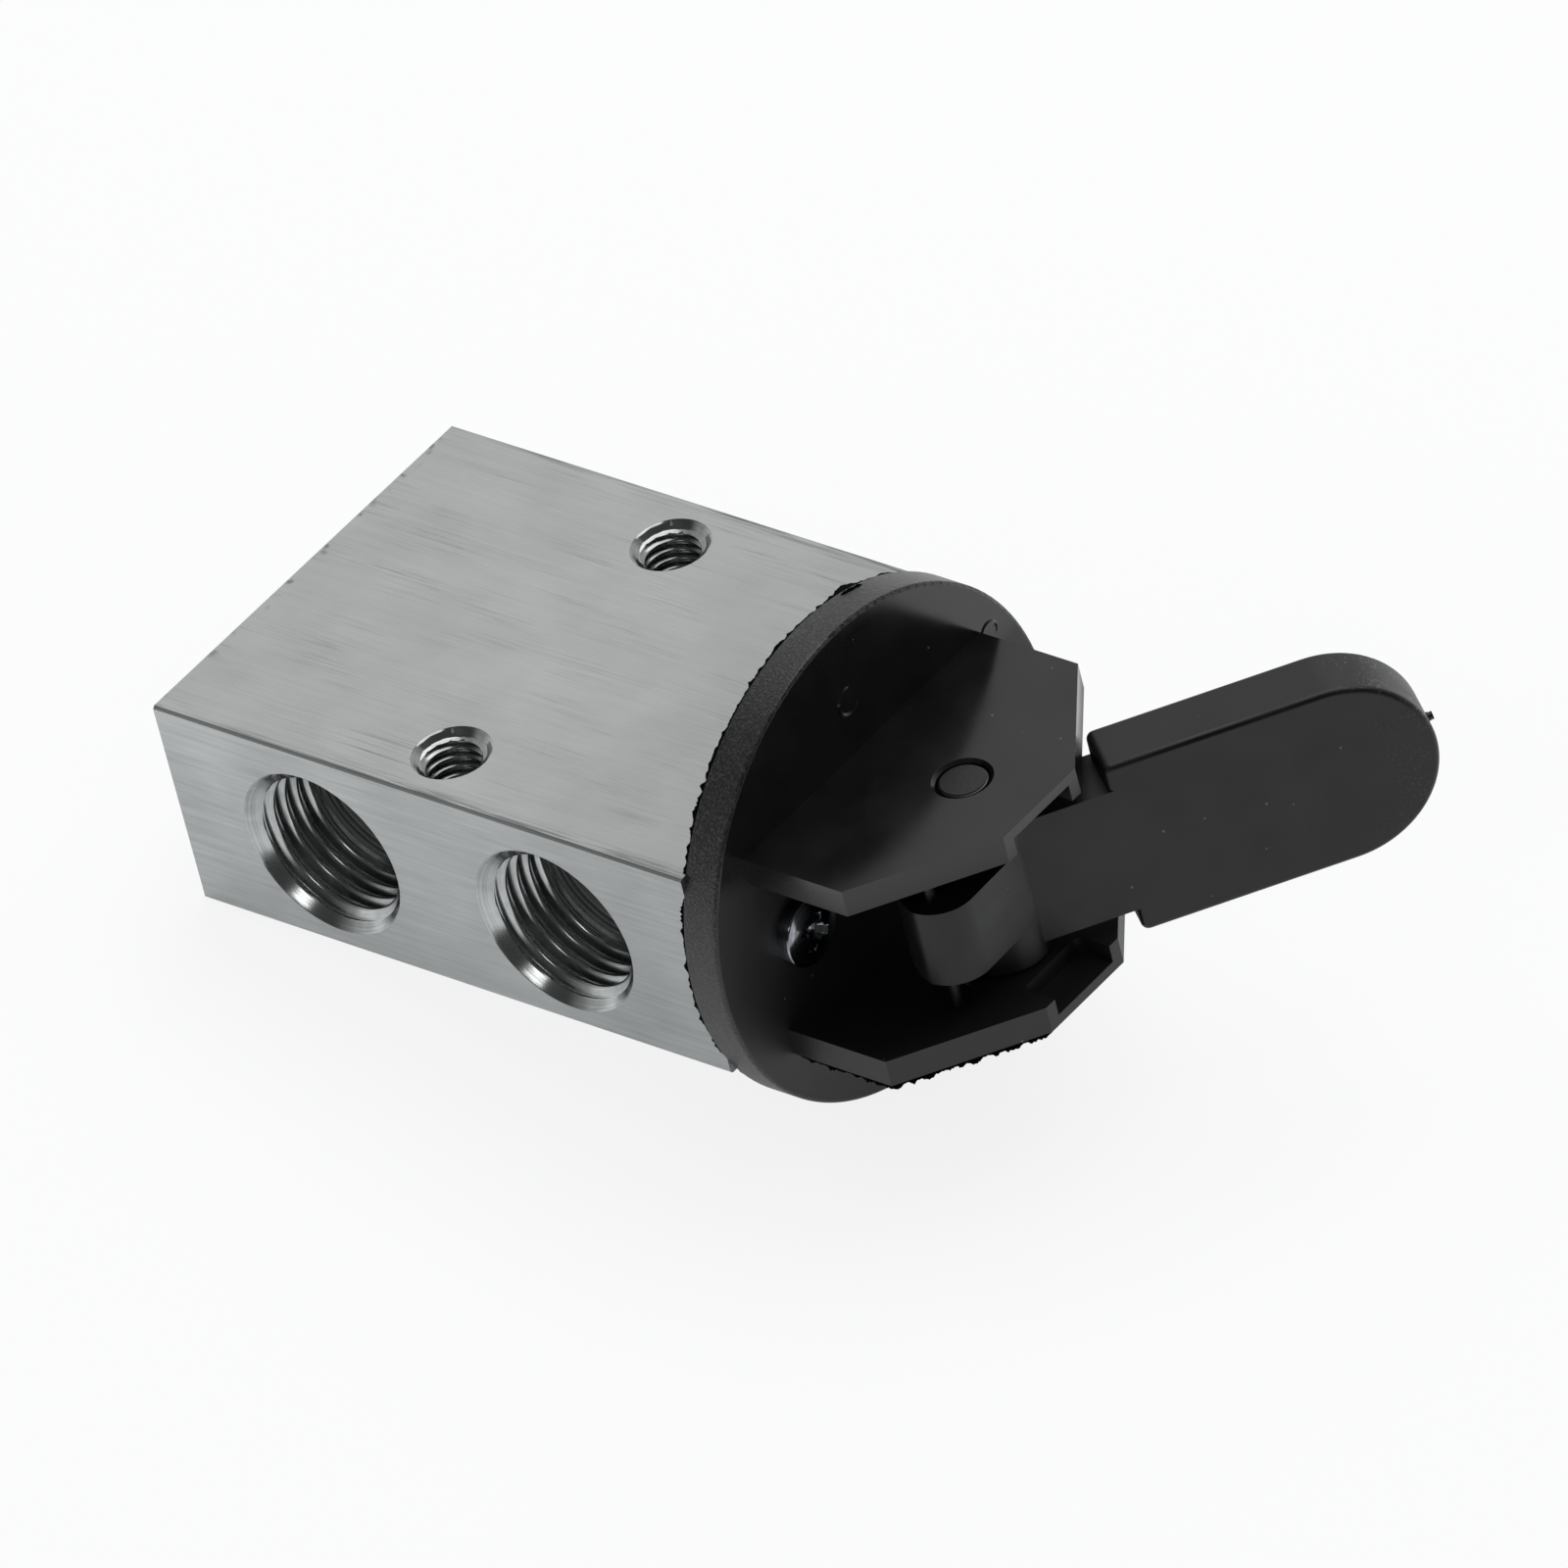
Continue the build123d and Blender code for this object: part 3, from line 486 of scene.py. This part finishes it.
def dark_polymer(name, light, dark, roughness, grit, depth, ior, dust=0.0):
    """Near black polymer. Grit wide and depth deep grain comes from a blasted mould or a cutting tool, a
    slow cloud changes the gloss a little, and dust gives sparse pale specks 0.1 mm wide."""
    material, tree, out = empty_material(name)
    place = add(tree, "ShaderNodeTexCoord").outputs["Object"]
    grain = add(tree, "ShaderNodeTexNoise", {"Vector": place, "Scale": 1 / grit, "Detail": 2.0})
    cloud = add(tree, "ShaderNodeTexNoise", {"Vector": place, "Scale": 1 / (5 * MM), "Detail": 3.0})
    tone = add(tree, "ShaderNodeMapRange", {"Value": cloud, "From Min": 0.3, "From Max": 0.7})
    colour = add(tree, "ShaderNodeMix", {"Factor": tone, "A": linear(dark), "B": linear(light)},
                 data_type="RGBA")
    cells = add(tree, "ShaderNodeTexVoronoi", {"Vector": place, "Scale": 1 / (2.6 * MM)})
    speck = add(tree, "ShaderNodeMapRange", {"Value": cells.outputs["Distance"], "From Min": 0.03,
                                             "From Max": 0.05, "To Min": dust, "To Max": 0.0})
    colour = add(tree, "ShaderNodeMix", {"Factor": speck, "A": colour.outputs["Result"],
                                         "B": linear("#8d8d8a")}, data_type="RGBA")
    rough = add(tree, "ShaderNodeMapRange", {"Value": tone, "To Min": roughness * 0.82,
                                             "To Max": roughness * 1.2})
    bump = add(tree, "ShaderNodeBump", {"Height": grain, "Strength": 0.5, "Distance": depth})
    shader = add(tree, "ShaderNodeBsdfPrincipled", {"Base Color": colour.outputs["Result"], "IOR": ior,
                                                    "Roughness": rough, "Normal": bump})
    tree.links.new(shader.outputs[0], out.inputs[0])
    return material


acetal = dark_polymer("turned_acetal", "#1a1a1b", "#121213", 0.36, grit=0.3 * MM, depth=0.008 * MM,
                      ior=1.48)
nitrile = dark_polymer("nitrile_rubber", "#151515", "#0e0e0e", 0.55, grit=0.2 * MM, depth=0.01 * MM,
                       ior=1.5)
for node in ("outlet_cage", "supply_cage", "guide_bush", "plunger_cap"):
    give(node, acetal)
for node in ("seal_rear", "seal_middle", "seal_front", "stem_wiper"):
    give(node, nitrile)

# Bracket: black glass-filled nylon, moulded in one piece: a round flange and two ears. The
# mould is polished on the ears and the flange's face and blasted on the rim.
flange_back = block_high[0]
flange_face = flange_back + 2.9 * MM
flange_r = bracket_high[1]


def joined_copy(node, name, body, bevel):
    """A copy of a CAD solid with its loose triangles joined and its sharp edges rounded. A vertex's normal
    is the sum of its faces' normals times their areas, so that large faces stay flat."""
    mesh = nodes[node].data.copy()
    for stale in ("custom_normal", "sharp_edge", "sharp_face"):
        if stale in mesh.attributes:
            mesh.attributes.remove(mesh.attributes[stale])
    work = bmesh.new()
    work.from_mesh(mesh)
    bmesh.ops.remove_doubles(work, verts=work.verts, dist=0.002 * MM)
    bmesh.ops.dissolve_limit(work, angle_limit=radians(0.4), verts=work.verts, edges=work.edges)
    sharp = [edge for edge in work.edges if edge.is_manifold and edge.calc_face_angle() > radians(30)]
    bmesh.ops.bevel(work, geom=sharp, offset=bevel, offset_type="OFFSET", segments=3, profile=0.5,
                    affect="EDGES", clamp_overlap=True)
    work.to_mesh(mesh)
    work.free()
    mesh.materials.clear()
    mesh.shade_smooth()
    sizes = np.zeros(len(mesh.polygons))
    mesh.polygons.foreach_get("area", sizes)
    facing = np.zeros(len(mesh.polygons) * 3)
    mesh.polygons.foreach_get("normal", facing)
    corners_each = np.zeros(len(mesh.polygons), int)
    mesh.polygons.foreach_get("loop_total", corners_each)
    corner_vertex = np.zeros(len(mesh.loops), int)
    mesh.loops.foreach_get("vertex_index", corner_vertex)
    weighted = np.repeat(facing.reshape(-1, 3) * sizes[:, None], corners_each, axis=0)
    normals = np.zeros((len(mesh.vertices), 3))
    np.add.at(normals, corner_vertex, weighted)
    normals /= np.maximum(np.linalg.norm(normals, axis=1, keepdims=True), 1e-20)
    mesh.normals_split_custom_set_from_vertices(normals.tolist())
    piece = bpy.data.objects.new(name, mesh)
    bpy.context.scene.collection.objects.link(piece)
    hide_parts(node)
    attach(piece, body)
    return piece


def moulded_bracket():
    """Glass-filled nylon. The ears' top and the flange above it come from a polished mould and mirror their
    neighbours softly, what lies below is duller and hazy, and the rim is blasted: matt and sandy, with
    pale specks drawn 0.19 mm wide, coarser than real, painted in as glints of light on its grains."""
    material, tree, out = empty_material("glass_filled_nylon_bracket")
    place = add(tree, "ShaderNodeTexCoord").outputs["Object"]
    axes = add(tree, "ShaderNodeSeparateXYZ", {0: place})
    centred = add(tree, "ShaderNodeVectorMath", {0: place, 1: (0, 0, spool_z)}, operation="SUBTRACT")
    across = add(tree, "ShaderNodeVectorMath", {0: centred, 1: (0, 1, 1)}, operation="MULTIPLY")
    radius = add(tree, "ShaderNodeVectorMath", {0: across}, operation="LENGTH")
    rim = add(tree, "ShaderNodeMapRange", {"Value": radius.outputs["Value"], "From Min": flange_r - 0.35 * MM,
                                           "From Max": flange_r - 0.1 * MM})
    upper = add(tree, "ShaderNodeMapRange", {"Value": axes.outputs["Z"], "From Min": -2.4 * MM,
                                             "From Max": -0.1 * MM})
    sand = add(tree, "ShaderNodeTexNoise", {"Vector": place, "Scale": 1 / (0.19 * MM), "Detail": 4.0})
    cloud = add(tree, "ShaderNodeTexNoise", {"Vector": place, "Scale": 1 / (4 * MM), "Detail": 4.0})
    tone = add(tree, "ShaderNodeMapRange", {"Value": cloud, "From Min": 0.3, "From Max": 0.7})
    face = add(tree, "ShaderNodeMix", {"Factor": tone, "A": linear("#0c0c0d"), "B": linear("#131314")},
               data_type="RGBA")
    dull = add(tree, "ShaderNodeMix", {"Factor": tone, "A": linear("#131314"), "B": linear("#1a1a1b")},
               data_type="RGBA")
    # The ears' sides lie beyond the flange, and they are darker than its hazy face
    beyond = add(tree, "ShaderNodeMapRange", {"Value": axes.outputs["X"], "From Min": flange_face + 0.3 * MM,
                                              "From Max": flange_face + 1.5 * MM})
    dull = add(tree, "ShaderNodeMix", {"Factor": beyond, "A": dull.outputs["Result"], "B": linear("#0a0a0b")},
               data_type="RGBA")
    face = add(tree, "ShaderNodeMix", {"Factor": upper, "A": dull.outputs["Result"],
                                       "B": face.outputs["Result"]}, data_type="RGBA")
    # Pale specks on the rim: painted highlights, for the light that the blasted grains catch
    grains = add(tree, "ShaderNodeMapRange", {"Value": sand, "From Min": 0.46, "From Max": 0.72})
    blasted = add(tree, "ShaderNodeMix", {"Factor": grains, "A": linear("#060607"), "B": linear("#3c3c3a")},
                  data_type="RGBA")
    colour = add(tree, "ShaderNodeMix", {"Factor": rim, "A": face.outputs["Result"],
                                         "B": blasted.outputs["Result"]}, data_type="RGBA")
    cells = add(tree, "ShaderNodeTexVoronoi", {"Vector": place, "Scale": 1 / (2.4 * MM)})
    speck = add(tree, "ShaderNodeMapRange", {"Value": cells.outputs["Distance"], "From Min": 0.025,
                                             "From Max": 0.045, "To Min": 0.55, "To Max": 0.0})
    colour = add(tree, "ShaderNodeMix", {"Factor": speck, "A": colour.outputs["Result"],
                                         "B": linear("#8d8d8a")}, data_type="RGBA")
    gloss = add(tree, "ShaderNodeMapRange", {"Value": tone, "To Min": 0.15, "To Max": 0.22})
    rough = add(tree, "ShaderNodeMix", {"Factor": upper, "A": 0.48, "B": gloss})
    rough = add(tree, "ShaderNodeMix", {"Factor": rim, "A": rough, "B": 0.36})
    deep = add(tree, "ShaderNodeMapRange", {"Value": rim, "To Min": 0.012, "To Max": 1.0})
    bump = add(tree, "ShaderNodeBump", {"Height": sand, "Strength": deep, "Distance": 0.06 * MM})
    shader = add(tree, "ShaderNodeBsdfPrincipled", {"Base Color": colour.outputs["Result"], "IOR": 1.56,
                                                    "Roughness": rough, "Normal": bump})
    tree.links.new(shader.outputs[0], out.inputs[0])
    return material


bracket_nylon = moulded_bracket()
bracket = joined_copy("lever_bracket", "bracket_moulding", "valve", bevel=0.10 * MM)
bracket.data.materials.append(bracket_nylon)


# Flash: the thin ragged fins that the mould's parting lines leave on the flange's back edge
# and on the lower ear, and the raised rings of two ejector pins.
# Flash nylon painted near black with a low IOR, so the fins look black and don't shine: painted shade along
# the parting lines
painted_shade_flash_nylon = dark_polymer("flash_nylon_painted_shade", "#050505", "#020202", 0.8, grit=0.2 * MM, depth=0.02 * MM,
                          ior=1.1)
fin_root = 0.04 * MM


def raised_line(name, path, outward, sideways, height, width, material, closed):
    """A thin fin carried along a path. At each point of the path its cross-section is a triangle: two
    feet, half a width to either side and a little sunk, and a tip that stands height along outward."""
    height = np.asarray(height, float)[:, None]
    sunk = path - outward * fin_root
    feet = np.stack([sunk - sideways * width / 2, path + outward * height, sunk + sideways * width / 2])
    rows, columns = feet.shape[:2]
    faces = grid_faces(rows, columns, True, closed).tolist()
    if not closed:
        faces += [[0, columns, 2 * columns], [columns - 1, 3 * columns - 1, 2 * columns - 1]]
    work = bpy.data.meshes.new(name)
    work.from_pydata(feet.reshape(-1, 3).tolist(), [], faces)
    shell = bmesh.new()
    shell.from_mesh(work)
    bmesh.ops.recalc_face_normals(shell, faces=shell.faces)
    shell.to_mesh(work)
    shell.free()
    piece = bpy.data.objects.new(name, work)
    bpy.context.scene.collection.objects.link(piece)
    work.materials.append(material)
    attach(piece, "valve")
    return piece


def ragged(count, low, high, smooth, seed):
    """Heights that wander between low and high, smoothed over a number of points by a running mean."""
    chance = np.random.default_rng(seed).random(count)
    kernel = np.ones(smooth) / smooth
    mean = np.convolve(np.concatenate([chance, chance[:smooth - 1]]), kernel, "valid")
    spread = (mean - mean.min()) / (mean.max() - mean.min())
    return low + (high - low) * spread ** 1.6


# Round the flange's back edge, with a sharp kink and a broad lump as the photograph shows them
turns = 700
angle = np.linspace(0, 2 * pi, turns, endpoint=False)
outward_y, outward_z = np.cos(angle), np.sin(angle)
edge_r = flange_r - 0.07 * MM
rim_edge = np.stack([np.full(turns, flange_back + 0.02 * MM), edge_r * outward_y,
                     spool_z + edge_r * outward_z], -1)
fin = 0.11 * MM + ragged(turns, 0.0, 0.85 * MM, 3, 3) * ragged(turns, 0.35, 1.0, 40, 5)
kink_angle, lump_angle = 154.5, 74.4
kink = np.exp(-((np.degrees(angle) - kink_angle) / 0.9) ** 2) * 0.55 * MM
lump = np.exp(-((np.degrees(angle) - lump_angle) / 3.0) ** 2) * 0.60 * MM
over_block = (np.abs(rim_edge[:, 1]) < block_high[1]) & (np.abs(rim_edge[:, 2] - spool_z) < block_height / 2)
fin = np.where(over_block, 0.0, fin + kink + lump)
raised_line("rim_flash", rim_edge, np.array([-1.0, 0, 0]), np.stack([0 * angle, outward_y, outward_z], -1),
            fin, 0.12 * MM, painted_shade_flash_nylon, closed=True)

# Along the lower edge of the lower ear, from the flange round its front corner
ear_corners = np.array([[27.9, -13.8], [36.4, -13.8], [43.5, -4.2]]) * MM
ear_points = 260
reach = np.concatenate([[0], np.cumsum(np.linalg.norm(np.diff(ear_corners, axis=0), axis=1))])
along = np.linspace(0, reach[-1], ear_points)
ear_edge = np.stack([np.interp(along, reach, ear_corners[:, 0]),
                     np.interp(along, reach, ear_corners[:, 1]) + 0.08 * MM,
                     np.full(ear_points, block_low[2])], -1)
ends = np.clip(np.minimum(along, reach[-1] - along) / (0.5 * MM), 0, 1)
ear_outward = np.array([0.28, -0.50, -0.82])
ear_sideways = np.tile([0.35, 0.94, 0.0], (ear_points, 1))
ear_fin = ragged(ear_points, 0.14 * MM, 0.48 * MM, 7, 8) * ends
# In the painted-shade nylon this fin draws a dark line of painted shade under the ear's edge
raised_line("ear_flash", ear_edge, ear_outward, ear_sideways, ear_fin, 0.14 * MM, painted_shade_flash_nylon, closed=False)

# A clump of that flash, folded over onto the rim
clump_points = 90
clump_r = flange_r - 0.03 * MM
clump_angle = np.radians(np.linspace(70.5, 78.0, clump_points))
clump_y, clump_z = np.cos(clump_angle), np.sin(clump_angle)
clump_path = np.stack([np.full(clump_points, flange_back + 0.28 * MM), clump_r * clump_y,
                       spool_z + clump_r * clump_z], -1)
inward = np.minimum(np.arange(clump_points), np.arange(clump_points)[::-1])
clump_height = ragged(clump_points, 0.10 * MM, 0.24 * MM, 6, 12) * np.clip(inward / 14, 0.08, 1)
raised_line("flash_clump", clump_path, np.stack([0 * clump_y, clump_y, clump_z], -1), np.array([1.0, 0, 0]),
            clump_height, 0.55 * MM, painted_shade_flash_nylon, closed=False)

# Rings that two ejector pins left on the flange's face, open where the pin sat flush
ring_points = 60
for name, middle_y, middle_z, ring_r, start, end in (("ejector_mark", -0.3, 13.1, 1.05, 70, 330),
                                                     ("ejector_ring", 14.6, 8.2, 0.85, -40, 280)):
    bend = np.radians(np.linspace(start, end, ring_points))
    round_y, round_z = np.cos(bend), np.sin(bend)
    ring = np.stack([np.full(ring_points, flange_face), middle_y * MM + ring_r * MM * round_y,
                     spool_z + middle_z * MM + ring_r * MM * round_z], -1)
    fade = np.clip(np.minimum(np.arange(ring_points), np.arange(ring_points)[::-1]) / 8, 0.1, 1)
    raised_line(name, ring, np.array([1.0, 0, 0]), np.stack([0 * bend, round_y, round_z], -1),
                0.11 * MM * fade, 0.42 * MM, bracket_nylon, closed=False)

# Screws: two M3 pan heads with a cross recess, bright zinc plated, that hold the bracket on
# the block. The recess is pressed in cold, so its walls taper and its corners are soft.
screw_pitch = 20.4 * MM
head_r = 2.7 * MM
head_height = 1.4 * MM
shoulder = 1.05 * MM
rim_round = 0.12 * MM
recess_depth = 0.85 * MM


def pan_head(name, side):
    """A pan head as a polar grid. At radius p its top is the shoulder's height plus the crown's times
    1 - (p / R) squared, rounded off at the rim by a quarter circle, and the recess takes away its depth
    times smooth steps across each arm and at the arm's end. The cross is turned by 0.5 radians."""
    rings, turns = 130, 240
    p = np.linspace(0, 1, rings)[:, None] ** 0.7 * head_r
    t = np.linspace(0, 2 * pi, turns, endpoint=False)[None, :]
    u, v = p * np.cos(t + 0.5), p * np.sin(t + 0.5)
    edge = np.clip((p - head_r + rim_round) / rim_round, 0, 1)
    dome = shoulder + (head_height - shoulder) * (1 - (p / head_r) ** 2)
    dome = dome - rim_round * (1 - np.sqrt(1 - edge ** 2))
    dome = dome * np.ones_like(t)
    narrow = np.minimum(np.abs(u), np.abs(v))
    long = np.maximum(np.abs(u), np.abs(v))
    arm = np.clip((0.40 * MM - narrow) / (0.12 * MM), 0, 1) * np.clip((1.45 * MM - long) / (0.5 * MM), 0, 1)
    core = np.clip((0.95 * MM - p) / (0.25 * MM), 0, 1) * np.ones_like(t)
    top = dome - recess_depth * np.maximum(arm ** 0.8, core * 0.5)
    top = top - 0.25 * MM * np.clip(1 - p / (0.5 * MM), 0, 1)
    rim = np.ones((1, turns))
    foot = -0.02 * MM * rim
    grid_p = np.concatenate([p * np.ones_like(t), head_r * rim, 0 * rim])
    grid_x = np.concatenate([top, foot, foot])
    points = np.stack([flange_face + grid_x, side * screw_pitch / 2 + grid_p * np.cos(t),
                       spool_z + grid_p * np.sin(t)], -1)
    piece = mesh_piece(name, points, grid_faces(rings + 2, turns, False))
    piece.data.shade_smooth()
    piece.data.set_sharp_from_angle(angle=radians(40))
    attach(piece, "valve")
    return piece


for node, side in (("bracket_screw_front", -1), ("bracket_screw_rear", 1)):
    which = node.removeprefix("bracket_screw_")
    zinc = tapped_metal("zinc_plated_" + which, (0, side * screw_pitch / 2, spool_z), 0, "#b4b8bd", "#4e5154",
                        0.11, 0.3 * MM)
    head = pan_head("screw_head_" + which, side)
    head.data.materials.append(zinc)
    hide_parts(node)

# Pins: a moulded pivot pin whose ends are melted down a little off centre, and a thin steel
# pin near the tip of the cam arm.
pivot_x = 36.6 * MM
pin_r = 2.0 * MM


def melted_pin(name):
    """A round pin along Z as a surface of revolution. Over the last 0.8 mm at each end its radius falls from
    the pin's to 1.78 mm by a smooth step, and its axis leans 0.2 mm towards the front right."""
    steps, turns = 60, 96
    z = [np.linspace(0, 1.0, 24), np.linspace(1.2, 16.4, 12), np.linspace(16.6, 17.6, 24)]
    z = np.concatenate(z) * MM
    end = np.clip(1 - np.minimum(z, block_height - z) / (0.8 * MM), 0, 1)
    end = end * end * (3 - 2 * end)
    r = pin_r - 0.22 * MM * end
    r = np.where(np.minimum(z, block_height - z) < 0.12 * MM, r - 0.10 * MM, r)
    lean = 0.2 * MM * end
    z = np.concatenate([[z[0]], z, [z[-1]]])
    r = np.concatenate([[0], r, [0]])
    lean = np.concatenate([[lean[0]], lean, [lean[-1]]])
    t = np.linspace(0, 2 * pi, turns, endpoint=False)[None, :]
    x = pivot_x + 0.75 * lean[:, None] + r[:, None] * np.cos(t)
    y = -0.66 * lean[:, None] + r[:, None] * np.sin(t)
    points = np.stack([x, y, np.broadcast_to(block_low[2] + z[:, None], x.shape)], -1)
    piece = mesh_piece(name, points, grid_faces(steps + 2, turns, False))
    piece.data.shade_smooth()
    piece.data.set_sharp_from_angle(angle=radians(35))
    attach(piece, "valve")
    return piece


pin = melted_pin("pivot_pin_melted")
pin_nylon = dark_polymer("moulded_pin_nylon", "#141415", "#0e0e0f", 0.3, grit=0.4 * MM, depth=0.02 * MM,
                         ior=1.5, dust=0.3)
pin.data.materials.append(pin_nylon)
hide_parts("pivot_pin")
give("cam_pin", tapped_metal("blackened_pin_steel", (pivot_x, 0, 0), 2, "#3f4043", "#2b2c2e", 0.45, 0.2 * MM))

# Lever: black nylon, moulded in one piece: barrel, cam arm and flat blade. Its mould is finer
# and duller than the bracket's, and the gate left a nub on the blade's round end.
lever_nylon = dark_polymer("glass_filled_nylon_lever", "#0e0e0f", "#0a0a0b", 0.40, grit=0.11 * MM,
                           depth=0.006 * MM, ior=1.44, dust=0.35)
lever = joined_copy("hand_lever", "lever_moulding", "lever", bevel=0.12 * MM)
lever.data.materials.append(lever_nylon)
lever_turn = radians(54)
blade_dir = np.array([cos(lever_turn), sin(lever_turn), 0])
blade_reach = 25.6 * MM

# Scuffs where fingers push: pale rubbed grains on the last 8 mm of the blade, in patches
tree = lever_nylon.node_tree
place = add(tree, "ShaderNodeTexCoord").outputs["Object"]
along_blade = add(tree, "ShaderNodeVectorMath", {0: place, 1: blade_dir}, operation="DOT_PRODUCT")
near_tip = add(tree, "ShaderNodeMapRange", {"Value": along_blade.outputs["Value"], "From Min": 46.5 * MM,
                                            "From Max": 54.5 * MM}, interpolation_type="SMOOTHSTEP")
rubbed = add(tree, "ShaderNodeTexNoise", {"Vector": place, "Scale": 1 / (0.24 * MM), "Detail": 2.0})
rubbed = add(tree, "ShaderNodeMapRange", {"Value": rubbed, "From Min": 0.52, "From Max": 0.70})
patch = add(tree, "ShaderNodeTexNoise", {"Vector": place, "Scale": 1 / (2.2 * MM), "Detail": 2.0})
patch = add(tree, "ShaderNodeMapRange", {"Value": patch, "From Min": 0.40, "From Max": 0.62, "To Min": 0.15})
rubbed = add(tree, "ShaderNodeMath", {0: rubbed, 1: patch}, operation="MULTIPLY")
rubbed = add(tree, "ShaderNodeMath", {0: rubbed, 1: near_tip}, operation="MULTIPLY")
# Most of it is on the round edge, which lies 7.4 mm from the middle of the blade's end
end_middle = pivot_x * cos(lever_turn) + blade_reach
along_end = add(tree, "ShaderNodeMath", {0: along_blade.outputs["Value"], 1: end_middle},
                operation="SUBTRACT")
height_end = add(tree, "ShaderNodeSeparateXYZ", {0: place})
height_end = add(tree, "ShaderNodeMath", {0: height_end.outputs["Z"], 1: spool_z}, operation="SUBTRACT")
from_end = add(tree, "ShaderNodeCombineXYZ", {0: along_end, 1: height_end})
from_end = add(tree, "ShaderNodeVectorMath", {0: from_end}, operation="LENGTH")
on_edge = add(tree, "ShaderNodeMapRange", {"Value": from_end.outputs["Value"], "From Min": 7.15 * MM,
                                           "From Max": 7.35 * MM, "To Min": 0.18, "To Max": 1.0})
rubbed = add(tree, "ShaderNodeMath", {0: rubbed, 1: on_edge}, operation="MULTIPLY")
shader = next(node for node in tree.nodes if node.type == "BSDF_PRINCIPLED")
plain = shader.inputs["Base Color"].links[0].from_socket
scuffed = add(tree, "ShaderNodeMix", {"Factor": rubbed, "A": plain, "B": linear("#6a6a69")}, data_type="RGBA")
tree.links.new(scuffed.outputs["Result"], shader.inputs["Base Color"])


def gate_nub(name):
    """The broken gate: a stub of revolution at the blade's round end. At height h from 0 to 1 along its
    length its radius is the foot's times (1 - 0.75 h + 0.4 h cubed)."""
    steps, turns = 20, 32
    foot_r = 0.5 * MM
    length = 0.6 * MM
    h = np.linspace(0, 1, steps)
    r = np.concatenate([foot_r * (1 - 0.75 * h + 0.4 * h ** 3), [0.0]])
    h = np.concatenate([h, [1.0]])
    r[0] = 0.0
    t = np.linspace(0, 2 * pi, turns, endpoint=False)
    out_dir = blade_dir * cos(radians(5)) + np.array([0, 0, 1]) * sin(radians(5))
    foot = np.array([pivot_x, 0, spool_z]) + blade_reach * blade_dir + 7.25 * MM * out_dir
    side = np.array([-blade_dir[1], blade_dir[0], 0])
    up = np.cross(out_dir, side)
    ring = np.cos(t)[None, :, None] * side + np.sin(t)[None, :, None] * up
    points = foot + h[:, None, None] * length * out_dir + r[:, None, None] * ring
    piece = mesh_piece(name, points, grid_faces(steps + 1, turns, False))
    piece.data.shade_smooth()
    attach(piece, "lever")
    return piece


gate_nub("gate_nub").data.materials.append(lever_nylon)
